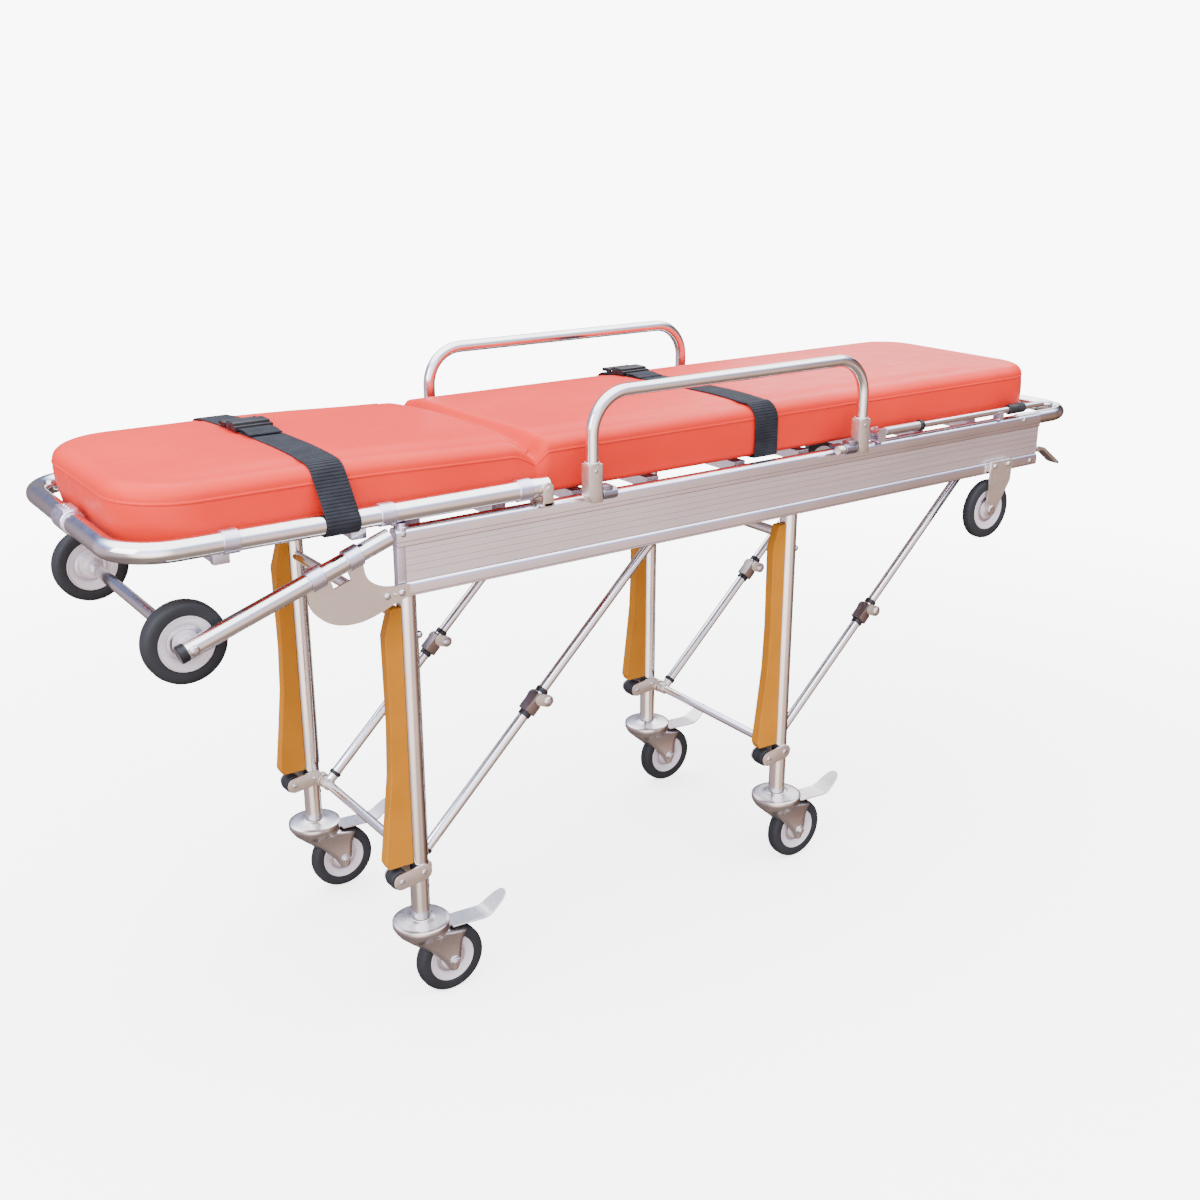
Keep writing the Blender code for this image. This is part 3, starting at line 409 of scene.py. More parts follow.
def loft(rings, closed=True, capped=True):
    """A skin through rings of points that each have the same count."""
    bm = bmesh.new()
    made = [[bm.verts.new(point) for point in ring] for ring in rings]
    count = len(made[0])
    for ring, following in zip(made, made[1:]):
        for k in range(count if closed else count - 1):
            after = (k + 1) % count
            bm.faces.new((ring[k], ring[after], following[after], following[k]))
    if capped:
        bm.faces.new(made[0])
        bm.faces.new(made[-1])
    return bm


def rounded(points, radius, steps=12):
    """The line through the points, with each inner corner turned into an arc."""
    points = [Vector(point) for point in points]
    path = [points[0]]
    for before, corner, after in zip(points, points[1:], points[2:]):
        back = (before - corner).normalized()
        on = (after - corner).normalized()
        half = back.angle(on) / 2
        centre = corner + (back + on).normalized() * radius / math.sin(half)
        start = corner + back * radius / math.tan(half) - centre
        axis = start.cross(corner + on * radius / math.tan(half) - centre).normalized()
        turn = math.pi - 2 * half
        path += [centre + Matrix.Rotation(turn * k / steps, 3, axis) @ start for k in range(steps + 1)]
    return path + [points[-1]]


def tube(path, radius, sides=28, edge=0.0007):
    """A round bar along a path, with its two end edges eased."""
    path = [Vector(point) for point in path]
    start = (path[1] - path[0]).normalized() * edge
    end = (path[-2] - path[-1]).normalized() * edge
    path = [path[0], path[0] + start] + path[1:-1] + [path[-1] + end, path[-1]]
    count = len(path)
    radii = [radius - edge] + [radius] * (count - 2) + [radius - edge]
    normal = (path[-1] - path[0]).orthogonal()
    rings = []
    for i, (point, size) in enumerate(zip(path, radii)):
        along = (path[min(i + 1, count - 1)] - path[max(i - 1, 0)]).normalized()
        normal = (normal - along * normal.dot(along)).normalized()
        across = along.cross(normal)
        angles = [math.tau * k / sides for k in range(sides)]
        rings.append([point + size * (math.cos(a) * normal + math.sin(a) * across) for a in angles])
    return loft(rings)


def pin(xz, y_from, y_to, radius, sides=28, edge=0.0007):
    """A round bar across the cot, through an (x, z) point."""
    return tube([at(xz, y_from), at(xz, y_to)], radius, sides, edge)


def lathe(profile, centre, axis=(0, 1, 0), sides=48):
    """A turned shape from a closed profile of (radius, offset along the axis)."""
    bm = bmesh.new()
    axis = Vector(axis).normalized()
    normal = axis.orthogonal().normalized()
    across = axis.cross(normal)
    made = []
    for k in range(sides):
        angle = math.tau * k / sides
        out = math.cos(angle) * normal + math.sin(angle) * across
        made.append([bm.verts.new(Vector(centre) + along * axis + radius * out)
                     for radius, along in profile])
    for k, ring in enumerate(made):
        following = made[(k + 1) % sides]
        for i, vert in enumerate(ring):
            after = (i + 1) % len(ring)
            bm.faces.new((vert, ring[after], following[after], following[i]))
    bmesh.ops.remove_doubles(bm, verts=bm.verts, dist=1e-6)
    return bm


def turned(half, centre, axis=(0, 1, 0), sides=48):
    """A turned shape that is the same on both faces, from the half profile of one face."""
    return lathe(half + [(radius, -along) for radius, along in reversed(half)], centre, axis, sides)


def dome(centre, axis, radius, height, sides=18):
    """A screw or rivet head that stands on the plane through its centre."""
    steps = [(radius, 0.0), (radius, height * 0.35), (radius * 0.86, height * 0.72),
             (radius * 0.5, height), (0.0, height)]
    return lathe([(0.0, 0.0)] + steps, centre, axis, sides)


def softened(bm, width, segments=2):
    """The same shape with its sharp edges eased."""
    if width:
        bmesh.ops.recalc_face_normals(bm, faces=bm.faces)
        sharp = [e for e in bm.edges if len(e.link_faces) == 2 and e.calc_face_angle() > math.radians(28)]
        bmesh.ops.bevel(bm, geom=sharp, offset=width, segments=segments, profile=0.6, affect="EDGES")
    return bm


def slab(low, high, edge=0.0008):
    bm = bmesh.new()
    size = Vector(high) - Vector(low)
    middle = (Vector(high) + Vector(low)) / 2
    bmesh.ops.create_cube(bm, size=1, matrix=Matrix.Translation(middle) @ Matrix.Diagonal((*size, 1)))
    return softened(bm, edge)


def side_slab(side, low, high, edge=0.0008):
    """A block on one side of the cot; its y values count outward from the middle."""
    near, far = sorted((side * low[1], side * high[1]))
    return slab((low[0], near, low[2]), (high[0], far, high[2]), edge)


def prism(outline, offset, edge=0.0):
    """A closed solid swept from an outline of points along an offset."""
    offset = Vector(offset)
    bm = loft([[Vector(point) for point in outline], [Vector(point) + offset for point in outline]])
    return softened(bm, edge)


def plate(outline, y_from, y_to, edge=0.0006):
    """A plate that stands in the XZ plane, from an outline of (x, z) points."""
    return prism([at(point, y_from) for point in outline], (0, y_to - y_from, 0), edge)


def stadium(start, end, radius, y_from, y_to, sides=28):
    """A plate with round ends around two (x, z) points."""
    start = Vector(start)
    end = Vector(end)
    lean = math.atan2(end.y - start.y, end.x - start.x)
    outline = []
    for centre, first in ((end, lean - math.pi / 2), (start, lean + math.pi / 2)):
        for k in range(sides // 2 + 1):
            angle = first + math.pi * k / (sides // 2)
            outline.append((centre.x + radius * math.cos(angle), centre.y + radius * math.sin(angle)))
    return plate(outline, y_from, y_to)


def merged(shapes):
    """One bmesh that holds several shapes."""
    whole = bmesh.new()
    for shape in shapes:
        bmesh.ops.recalc_face_normals(shape, faces=shape.faces)
        part = bpy.data.meshes.new("part")
        shape.to_mesh(part)
        shape.free()
        whole.from_mesh(part)
        bpy.data.meshes.remove(part)
    return whole


def piece(name, shapes, colour, body, nodes=(), sharp=38):
    """A named piece of the cot that rides on a body and may stand for CAD nodes."""
    bm = merged(shapes)
    mesh = bpy.data.meshes.new(name)
    bm.to_mesh(mesh)
    bm.free()
    mesh.materials.append(MATERIALS[colour])
    mesh.shade_smooth()
    mesh.set_sharp_from_angle(angle=math.radians(sharp))
    ob = bpy.data.objects.new(name, mesh)
    bpy.context.scene.collection.objects.link(ob)
    if body:
        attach(ob, body)
    if nodes:
        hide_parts(*nodes)
    return ob


def dress(node, colour, edge=0.0006):
    """A CAD node that stays: smooth faces, eased edges and a finished material."""
    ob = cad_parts[node]
    ob.data.materials.clear()
    ob.data.materials.append(MATERIALS[colour])
    custom = ob.data.attributes.get("custom_normal")
    if custom:
        ob.data.attributes.remove(custom)
    for polygon in ob.data.polygons:
        polygon.use_smooth = True
    weld = ob.modifiers.new("weld", "WELD")
    weld.merge_threshold = 0.00001
    bevel = ob.modifiers.new("bevel", "BEVEL")
    bevel.width = edge
    bevel.segments = 2
    bevel.limit_method = "ANGLE"
    bevel.angle_limit = math.radians(30)
    bevel.harden_normals = True


# ---- chassis ------------------------------------------------------------------------

def top_rail_section():
    """Outline of the left top rail as (y, z), with round shoulders."""
    outer, top, low = BEAM["outer"], BEAM["top"], WEB["high"]
    section = [(TOP_RAIL_INNER, low), (outer - 0.0008, low), (outer, low + 0.0008)]
    for centre_y, first in ((outer - 0.0100, 0), (TOP_RAIL_INNER + 0.0060, 90)):
        radius = outer - centre_y if first == 0 else centre_y - TOP_RAIL_INNER
        section += [(p.x, p.y) for p in arc((centre_y, top - radius), radius, first, first + 90, 5)]
    return section


def low_rail_section():
    """Outline of the left bottom rail as (y, z): a sloping shelf above a flat side."""
    outer, bottom, high = BEAM["outer"], BEAM["bottom"], WEB["low"]
    section = [(LOW_RAIL_INNER, bottom + 0.003), (LOW_RAIL_INNER + 0.003, bottom), (outer - 0.0015, bottom)]
    section += [(outer, bottom + 0.0015)]
    centre = (outer - LOW_RAIL_ROUND, high - LOW_RAIL_ROUND)
    section += [(p.x, p.y) for p in arc(centre, LOW_RAIL_ROUND, 0, 90, 8)]
    section += [(LOW_RAIL_INNER, high)]
    return section


def web_section():
    """Outline of the left web plate as (y, z)."""
    return [(WEB["inner"], WEB["low"] - 0.002), (WEB["outer"], WEB["low"] - 0.002),
            (WEB["outer"], WEB["high"] + 0.002), (WEB["inner"], WEB["high"] + 0.002)]


def build_beam(name, side):
    length = (BEAM["end"] - BEAM["start"], 0, 0)
    rails = [prism([(BEAM["start"], side * y, z) for y, z in section()], length)
             for section in (top_rail_section, low_rail_section)]
    piece(f"beam_rails_{name}", rails, "rail", "chassis", [f"beam_{name}"], 25)
    web = prism([(BEAM["start"], side * y, z) for y, z in web_section()], length)
    piece(f"beam_web_{name}", [web], "beam", "chassis", (), 25)
    # Painted shade: dark strips stand in for the shadow inside the beam's grooves and seams.
    lines = []
    for y, z, half in BEAM_GROOVE_SHADE:
        lines.append(side_slab(side, (BEAM["start"] + LINE_SHORT, y - LINE_DEPTH, z - half),
                               (BEAM["end"] - LINE_SHORT, y + LINE_PROUD, z + half), 0))
    piece(f"beam_groove_shade_{name}", lines, "dark_steel_and_groove_shade", "chassis")
    block = side_slab(side, (BEAM["start"] - 0.0004, LOW_RAIL_INNER + 0.0005, BEAM["bottom"] + 0.001),
                      (BEAM["start"] + 0.014, 0.2436, BEAM["top"] - 0.004), 0.0015)
    rest_x = BEAM["start"] + 0.012
    post = tube([(rest_x, side * BACK_TUBE["y"], 0.815), (rest_x, side * BACK_TUBE["y"], 0.8318)], 0.009)
    collar = tube([(rest_x, side * BACK_TUBE["y"], 0.8236), (rest_x, side * BACK_TUBE["y"], 0.8262)], 0.0105)
    piece(f"beam_front_fitting_{name}", [block, post, collar], "band", "chassis")
    x, z = BACK_PIVOT
    ears = []
    for near, far in HINGE_EARS:
        ears.append(stadium((x, 0.828), (x, z + 0.001), 0.0095, side * near, side * far))
    ears.append(side_slab(side, (x - 0.011, HINGE_EARS[0][0], 0.8205),
                          (x + 0.011, HINGE_EARS[1][1], 0.8262)))
    ears.append(pin(BACK_PIVOT, side * 0.2150, side * 0.2560, 0.0045))
    piece(f"back_hinge_{name}", ears, "plate", "chassis")
    bosses = []
    for leg_x in LEGS.values():
        anchor = (leg_x + ANCHOR_OFFSET[0], ANCHOR_OFFSET[1])
        bosses.append(pin(anchor, side * 0.1825, side * 0.2380, 0.0090))
    piece(f"brace_anchors_{name}", bosses, "bolt", "chassis")
    screws = []
    for screw_x, screw_z in ((-0.577, 0.8155), (-0.577, 0.7270), (0.812, 0.8150), (0.842, 0.7280)):
        place = (screw_x, side * (BEAM["outer"] - 0.0002), screw_z)
        screws.append(dome(place, (0, side, 0), 0.0045, 0.0022))
    piece(f"beam_screws_{name}", screws, "bolt", "chassis")


def strut_line():
    return Vector((-0.923, 0.7045)), Vector((-0.600, 0.8163))


def eased_outline(points, rounds=3):
    """The outline with its corners cut again and again into curves; the two ends stay."""
    for _ in range(rounds):
        cut = [points[0]]
        for before, after in zip(points, points[1:]):
            cut += [before.lerp(after, 0.25), before.lerp(after, 0.75)]
        points = cut + [points[-1]]
    return points


def strut_plate(side, along):
    """Half-moon plate below the strut, with the slot between its bands."""
    lower = eased_outline([Vector(point) for point in STRUT_PLATE_LOWER])
    upper = eased_outline([Vector(point) for point in STRUT_PLATE_UPPER])
    below = Vector((along.y, -along.x))
    middle = Vector(STRUT_SLOT)
    corners = [middle + along * a + below * b
               for a, b in ((-0.0145, -0.0075), (0.0145, -0.0075), (0.0145, 0.0060), (-0.0145, 0.0060))]
    near, far = side * 0.2456, side * 0.2496
    through = side * 0.002
    slot = plate(corners, near - through, far + through, 0)
    return carved(plate(lower + upper, near, far, 0), [slot])


def build_strut(name, side):
    low, high = strut_line()
    along = (high - low).normalized()
    y = side * BEAM["outer"]
    bar = tube([at(low + along * 0.012, y), at(high, y)], 0.0133, 36)
    piece(f"strut_tube_{name}", [bar], "tube", "chassis", [f"loading_strut_{name}"])
    plug = tube([at(low, y), at(low + along * 0.0125, y)], 0.0136, 36, 0.0014)
    piece(f"strut_plug_{name}", [plug], "black", "chassis")
    head = [dome(at(LOAD_AXLE, side * 0.2562), (0, side, 0), 0.0075, 0.0042)]
    piece(f"strut_bolt_{name}", head, "bolt", "chassis")
    bands = []
    for x in (-0.719, -0.660):
        centre = low + along * ((x - low.x) / along.x)
        bands.append(tube([at(centre + along * shift, y) for shift in (-0.0118, 0.0118)], 0.0167, 36))
    piece(f"strut_bands_{name}", bands, "band", "chassis")
    piece(f"strut_plate_{name}", [strut_plate(side, along)], "plate", "chassis",
          [f"strut_plate_{name}"])
    spots = ((-0.610, 0.728, 0.0052), (-0.597, 0.7285, 0.0022), (-0.586, 0.729, 0.0052))
    bolts = [dome((x, side * 0.2495, z), (0, side, 0), radius, 0.0036) for x, z, radius in spots]
    piece(f"strut_plate_bolts_{name}", bolts, "bolt", "chassis")


def build_foot_end():
    radius = 0.0135
    corners = [(BEAM["end"] - 0.05, -0.225, 0.81), (0.999 - radius, -0.225, 0.81),
               (0.999 - radius, 0.225, 0.81), (BEAM["end"] - 0.05, 0.225, 0.81)]
    loop = tube(rounded(corners, 0.068), radius, 32)
    piece("foot_handle_loop", [loop], "tube", "chassis", ["foot_loop"])
    dress("bed_frame", "beam")
    dress("release_handle", "cast", 0.0012)


def build_transit(name, side):
    dress(f"transit_bracket_{name}", "plate", 0.0005)
    x = TRANSIT_AXLE[0]
    cap = [(0.0, 0.0019), (0.0085, 0.0019), (0.0095, 0.0008)]
    screws = [dome((bolt_x, side * 0.2526, 0.734), (0, side, 0), 0.0050, 0.0034)
              for bolt_x in (x, x + 0.040)]
    screws.append(turned(cap, at(TRANSIT_AXLE, side * 0.2542)))
    piece(f"transit_screws_{name}", screws, "bolt", "chassis")


# ---- wheels -------------------------------------------------------------------------

def build_wheel(label, xz, y, half, wheel):
    """Rubber tyre on a stepped rim with a raised hub; wheel names both the CAD node and its body."""
    centre = at(xz, y)
    bead, top = 0.0400, WHEEL_RADIUS
    tread = [(bead, half * 0.72), (bead + 0.002, half * 0.97), (bead + 0.006, half), (top - 0.0080, half),
             (top - 0.0035, half * 0.93), (top - 0.0010, half * 0.74), (top, half * 0.42)]
    piece(f"{label}_tyre", [turned(tread, centre, sides=72)], "tyre", wheel, [wheel])
    rim = [(0.0, half * 0.50), (0.0200, half * 0.50), (0.0225, half * 0.42), (0.0262, half * 0.42),
           (0.0282, half * 0.66), (0.0300, half * 0.74), (0.0375, half * 0.80), (0.0392, half * 0.92),
           (0.0405, half * 0.86), (0.0405, half * 0.5)]
    piece(f"{label}_rim", [turned(rim, centre, sides=72)], "rim", wheel)
    hub = [(0.0, half * 0.98), (0.0098, half * 0.98), (0.0112, half * 0.86), (0.0125, half * 0.62),
           (0.0172, half * 0.56), (0.0185, half * 0.45)]
    piece(f"{label}_hub", [turned(hub, centre)], "rim", wheel)
    ring = [(0.0180, half * 0.44), (0.0180, half * 0.47), (0.0205, half * 0.53), (0.0235, half * 0.50),
            (0.0265, half * 0.46), (0.0265, half * 0.40)]
    piece(f"{label}_ring", [turned(ring, centre, sides=64)], "band", wheel)


def build_chassis_wheels():
    for name, side in SIDES.items():
        for kind, axle, y, half in (("loading", LOAD_AXLE, LOAD_WHEEL_Y - 0.0025, 0.0148),
                                    ("transit", TRANSIT_AXLE, TRANSIT_WHEEL_Y, 0.0095)):
            wheel = f"{kind}_wheel_{name}"
            build_wheel(f"{kind}_{name}", axle, side * y, half, wheel)
    bar = pin(LOAD_AXLE, -0.2035, 0.2035, 0.0095, 32)
    pins = pin(LOAD_AXLE, -0.2335, 0.2335, 0.0058, 20)
    piece("loading_axle_tube", [bar, pins], "tube", "chassis", ["loading_axle"])


# ---- legs and braces ----------------------------------------------------------------

def build_leg(end, leg_x):
    body = f"leg_{end}"
    tie = (leg_x + TIE_OFFSET[0], TIE_OFFSET[1])
    roller = (leg_x + ROLLER_OFFSET[0], ROLLER_OFFSET[1])
    bolt = (leg_x + 0.001, 0.242)
    knob = [(0.0, 0.0062), (0.0024, 0.0057), (0.0044, 0.0044), (0.0057, 0.0024), (0.0062, 0.0)]
    tubes = [tube([(leg_x, -LEG_Y, UPPER_TIE_Z), (leg_x, LEG_Y, UPPER_TIE_Z)], 0.009)]
    plates, bolts, rods = [], [], []
    for side in SIDES.values():
        y = side * LEG_Y
        tubes.append(tube([(leg_x, y, 0.1538), (leg_x, y, 0.750)], LEG_RADIUS, 36))
        plates.append(tube([(leg_x, y, 0.735), (leg_x, side * 0.2287, 0.735)], 0.008))
        for face in (-1, 1):
            plates.append(stadium(roller, bolt, 0.014, y + face * 0.0148, y + face * 0.0180))
            for spot in (roller, bolt):
                bolts.append(dome(at(spot, y + face * 0.0178), (0, face, 0), 0.0048, 0.0021))
        plates.append(pin(tie, side * 0.1835, side * 0.2000, 0.0128, 32))
        rods.append(tube([(leg_x + 0.0172, y, 0.262), (leg_x + 0.0172, y, 0.640)], 0.0014, 10))
        rods.append(turned(knob, (leg_x + 0.0190, y, 0.641)))
        rods.append(dome((leg_x + 0.0150, y, 0.205), (1, 0, 0), 0.0038, 0.0024))
    piece(f"leg_tubes_{end}", tubes, "tube", body, [f"leg_frame_{end}"])
    piece(f"leg_brackets_{end}", plates, "plate", body)
    piece(f"leg_bolts_{end}", bolts, "bolt", body)
    piece(f"leg_rods_{end}", rods, "bolt", body)
    for name, side in SIDES.items():
        dress(f"leg_guard_{end}_{name}", "guard", 0.0022)
        wheel = [(0.0035, 0.0118), (0.0060, 0.0125), (0.0070, 0.0112), (0.0125, 0.0112), (0.0140, 0.0125),
                 (0.0158, 0.0112), (0.0165, 0.0085), (0.0165, 0.0020), (0.0160, 0.0008)]
        piece(f"roller_tyre_{end}_{name}", [turned(wheel, at(roller, side * LEG_Y))], "tyre",
              f"roller_{end}_{name}", [f"roller_{end}_{name}"])


def brace_points(leg_x):
    """Lower tie, knee on the brace line, knee pivot beside it, anchor, and the line's direction."""
    tie = Vector((leg_x + TIE_OFFSET[0], TIE_OFFSET[1]))
    anchor = Vector((leg_x + ANCHOR_OFFSET[0], ANCHOR_OFFSET[1]))
    along = (anchor - tie).normalized()
    knee = tie + (anchor - tie) * KNEE_SHARE
    pivot = knee + KNEE_DROP * Vector((along.y, -along.x))
    return tie, knee, pivot, anchor, along


def build_lower_brace(end, leg_x):
    tie, knee, pivot, _, along = brace_points(leg_x)
    drop = Vector((along.y, -along.x))
    body = f"lower_brace_{end}"
    tubes = [pin(tie, -0.1925, 0.1925, 0.008)]
    rings, blocks, sleeves, pins = [], [], [], []
    for side in SIDES.values():
        y = side * BRACE_Y
        tubes.append(tube([at(tie, y), at(knee - along * 0.02, y)], 0.009))
        length = (knee - tie).length
        for near, far in ((0.020, 0.027), (length - 0.044, length - 0.036)):
            rings.append(tube([at(tie + along * near, y), at(tie + along * far, y)], 0.0110))
        low, high = sorted((side * 0.160, side * 0.183))
        corners = [knee - along * a + drop * b
                   for a, b in ((0.001, -0.0115), (0.001, 0.0045), (0.012, 0.0050), (0.016, 0.0115),
                                (0.036, 0.0115), (0.036, -0.0115))]
        blocks.append(plate(corners, low, high, 0.0020))
        for near, far, face in ((0.1833, 0.1866, side), (0.1573, 0.1598, -side)):
            sleeves.append(stadium(knee - along * 0.006, pivot, 0.0105, side * near, side * far))
            reach = far if face == side else near
            pins.append(dome(at(pivot, side * reach), (0, face, 0), 0.0080, 0.0036))
        pins.append(pin(pivot, side * 0.1605, side * 0.1850, 0.0040, 16))
        joint = pin(tie, side * 0.1640, side * 0.1800, 0.0112, 32)
        sleeves.append(joint)
    piece(f"brace_tubes_{end}", tubes, "tube", body, [f"lower_brace_frame_{end}"])
    piece(f"brace_rings_{end}", rings, "black", body)
    piece(f"knee_blocks_{end}", blocks, "dark_steel_and_groove_shade", body)
    piece(f"knee_plates_{end}", sleeves, "plate", body)
    piece(f"knee_pins_{end}", pins, "bolt", body)


def build_upper_brace(end, leg_x, name, side):
    _, knee, pivot, anchor, along = brace_points(leg_x)
    y = side * BRACE_Y
    body = f"upper_brace_{end}_{name}"
    bar = tube([at(knee + along * 0.001, y), at(anchor, y)], 0.0085)
    piece(f"upper_brace_tube_{end}_{name}", [bar], "tube", body, [body])
    collar = tube([at(knee + along * 0.004, y), at(knee + along * 0.013, y)], 0.0107)
    piece(f"upper_brace_ring_{end}_{name}", [collar], "black", body)
    eyes = [pin(pivot, side * 0.1625, side * 0.1815, 0.0100, 32)]
    eyes.append(pin(anchor, side * 0.1635, side * 0.1810, 0.0110, 32))
    piece(f"upper_brace_eyes_{end}_{name}", eyes, "plate", body)


# ---- casters ------------------------------------------------------------------------

def plan_ring(x, y, z, low_x, high_x, half, radius):
    """A rounded rectangle at one height, the same number of points at any radius."""
    points = []
    for corner_x, sign, first in ((high_x, 1, 0), (low_x, 1, 90), (low_x, -1, 180), (high_x, -1, 270)):
        centre_x = x + corner_x - math.copysign(radius, 0.5 if corner_x == high_x else -0.5)
        centre_y = y + sign * (half - radius)
        for k in range(10):
            angle = math.radians(first + 90 * k / 9)
            points.append((centre_x + radius * math.cos(angle), centre_y + radius * math.sin(angle), z))
    return points


def fork_shell(x, y):
    """Pressed fork that runs smoothly from the round cup down to the wheel's axle."""
    levels = ((0.1478, -0.0466, 0.0466, 0.0466, 0.0465), (0.1450, -0.0475, 0.0475, 0.0475, 0.0474),
              (0.1385, -0.0470, 0.0472, 0.0466, 0.0460), (0.1330, -0.0440, 0.0470, 0.0425, 0.0400),
              (0.1272, -0.0400, 0.0450, 0.0365, 0.0330), (0.1222, -0.0350, 0.0435, 0.0318, 0.0290),
              (0.1188, -0.0310, 0.0540, 0.0290, 0.0250), (0.1163, -0.0280, 0.0640, 0.0272, 0.0230),
              (0.1136, -0.0255, 0.0740, 0.0258, 0.0215), (0.1105, -0.0220, 0.0800, 0.0248, 0.0205),
              (0.1020, -0.0120, 0.0765, 0.0228, 0.0190), (0.0900, 0.0010, 0.0722, 0.0212, 0.0170),
              (0.0760, 0.0140, 0.0705, 0.0206, 0.0160), (0.0620, 0.0250, 0.0690, 0.0204, 0.0160),
              (0.0520, 0.0315, 0.0665, 0.0203, 0.0150), (0.0450, 0.0365, 0.0625, 0.0202, 0.0120),
              (0.0410, 0.0420, 0.0570, 0.0200, 0.0070))
    body = loft([plan_ring(x, y, z, low, high, half, radius) for z, low, high, half, radius in levels])
    centre = (x + CASTER_TRAIL, WHEEL_RADIUS)
    slot = pin(centre, y - 0.0162, y + 0.0162, WHEEL_RADIUS + 0.0030, 56, 0)
    return carved(body, [slot])


def carved(bm, cutters):
    """A shape less its cutters."""
    solids = []
    for shape in [bm] + cutters:
        bmesh.ops.recalc_face_normals(shape, faces=shape.faces)
        mesh = bpy.data.meshes.new("solid")
        shape.to_mesh(mesh)
        shape.free()
        solids.append(bpy.data.objects.new("solid", mesh))
        bpy.context.scene.collection.objects.link(solids[-1])
    for cutter in solids[1:]:
        cut = solids[0].modifiers.new("cut", "BOOLEAN")
        cut.operation = "DIFFERENCE"
        cut.solver = "EXACT"
        cut.object = cutter
    depsgraph = bpy.context.evaluated_depsgraph_get()
    result = bpy.data.meshes.new_from_object(solids[0].evaluated_get(depsgraph))
    for solid in solids:
        bpy.data.objects.remove(solid)
    whole = bmesh.new()
    whole.from_mesh(result)
    return whole


def build_caster(end, leg_x, name, side):
    y = side * LEG_Y
    label = f"{end}_{name}"
    body = f"caster_{label}"
    piece(f"caster_shell_{label}", [fork_shell(leg_x, y)], "cast", body,
          [f"caster_fork_{label}"], 40)
    dish = [(0.0, 0.1440), (0.0460, 0.1440), (0.0474, 0.1458), (0.0472, 0.1472), (0.0460, 0.1483),
            (0.0400, 0.1494), (0.0300, 0.1505), (0.0230, 0.1514), (0.0200, 0.1524), (0.0180, 0.1532),
            (0.0, 0.1532)]
    piece(f"caster_cup_{label}", [lathe(dish, (leg_x, y, 0), (0, 0, 1), 64)], "cast", body)
    centre = (leg_x + CASTER_TRAIL, WHEEL_RADIUS)
    bolts = [pin(centre, y - 0.0200, y + 0.0200, 0.0050, 20)]
    for face in (-1, 1):
        bolts.append(pin(centre, y + face * 0.0195, y + face * 0.0212, 0.0098, 28))
        bolts.append(pin(centre, y + face * 0.0205, y + face * 0.0252, 0.0078, 6))
        bolts.append(dome(at(centre, y + face * 0.0250), (0, face, 0), 0.0048, 0.0012))
    piece(f"caster_bolt_{label}", bolts, "bolt", body)
    build_wheel(f"caster_{label}", centre, y, 0.0122, f"caster_wheel_{label}")
    build_pedal(leg_x, y, label)


def build_pedal(x, y, label):
    """Brake pedal: a flat plate that ends in a rounded, upturned tab."""
    lip = 0.0006
    stations = ((0.0480, 0.1245, 0.0200), (0.0800, 0.1228, 0.0204), (0.1080, 0.1208, 0.0204),
                (0.1180, 0.1212, 0.0198), (0.1260, 0.1245, 0.0190), (0.1380, 0.1330, 0.0174),
                (0.1460, 0.1386, 0.0155), (0.1530, 0.1434, 0.0122), (0.1570, 0.1462, 0.0088),
                (0.1590, 0.1474, 0.0045))
    rings = []
    for a, z, half in stations:
        rings.append([(x + a, y - half, z - 0.0009), (x + a, y - half + lip, z - 0.0015),
                      (x + a, y + half - lip, z - 0.0015), (x + a, y + half, z - 0.0009),
                      (x + a, y + half, z + 0.0009), (x + a, y + half - lip, z + 0.0015),
                      (x + a, y - half + lip, z + 0.0015), (x + a, y - half, z + 0.0009)])
    piece(f"pedal_plate_{label}", [loft(rings)], "cast", f"brake_pedal_{label}",
          [f"brake_pedal_{label}"])


# ---- back section -------------------------------------------------------------------

def build_back():
    x, z = BACK_PIVOT
    y = BACK_TUBE["y"]
    head = BACK_TUBE["head"]
    end = x + 0.010
    corners = [(end, -y, z), (head, -y, z), (head, y, z), (end, y, z)]
    loop = tube(rounded(corners, 0.075, 16), BACK_TUBE["radius"], 40, 0.0016)
    piece("back_loop", [loop], "tube", "back_section", ["back_frame"])
    bands, hooks = [], []
    for side in SIDES.values():
        for collar_x in (-0.835, -0.600, -0.366):
            line = [(collar_x + shift, side * y, z) for shift in (-0.012, 0.012)]
            bands.append(tube(line, 0.0174, 40))
        for hook_x in HOOKS:
            hooks.append(side_slab(side, (hook_x - 0.012, 0.2162, 0.8152),
                                   (hook_x + 0.012, 0.2295, 0.838), 0.0012))
    piece("back_collars", bands, "band", "back_section")
    bars = [slab((bar_x - 0.011, -0.228, 0.8162), (bar_x + 0.011, 0.228, 0.8242))
            for bar_x in HOOKS]
    piece("back_hooks", hooks + bars, "band", "back_section")
    deck = slab((-0.930, -0.15, 0.8234), (-0.345, 0.15, 0.8272), 0.0010)
    piece("back_deck", [deck], "plate", "back_section")
    sleeve = tube([(head, -0.024, z), (head, 0.024, z)], 0.0185, 40, 0.0012)
    pad = slab((head - 0.012, -0.021, z + 0.0120), (head + 0.0105, 0.021, z + 0.0192), 0.0018)
    piece("head_clamp", [sleeve, pad], "band", "back_section")
    screws = [dome((head - 0.0008, shift, z + 0.0190), (0, 0, 1), 0.0028, 0.0014)
              for shift in (-0.012, 0, 0.012)]
    piece("head_clamp_screws", screws, "bolt", "back_section")


# ---- mattress -----------------------------------------------------------------------

def ease(value):
    """A smooth step from 0 to 1."""
    value = min(max(value, 0.0), 1.0)
    return value * value * (3 - 2 * value)


def crease_offset(x, y):
    """Distance from the fold between the two cushions, positive towards the foot end."""
    return x - CREASE["x"] - CREASE["slant"] * y


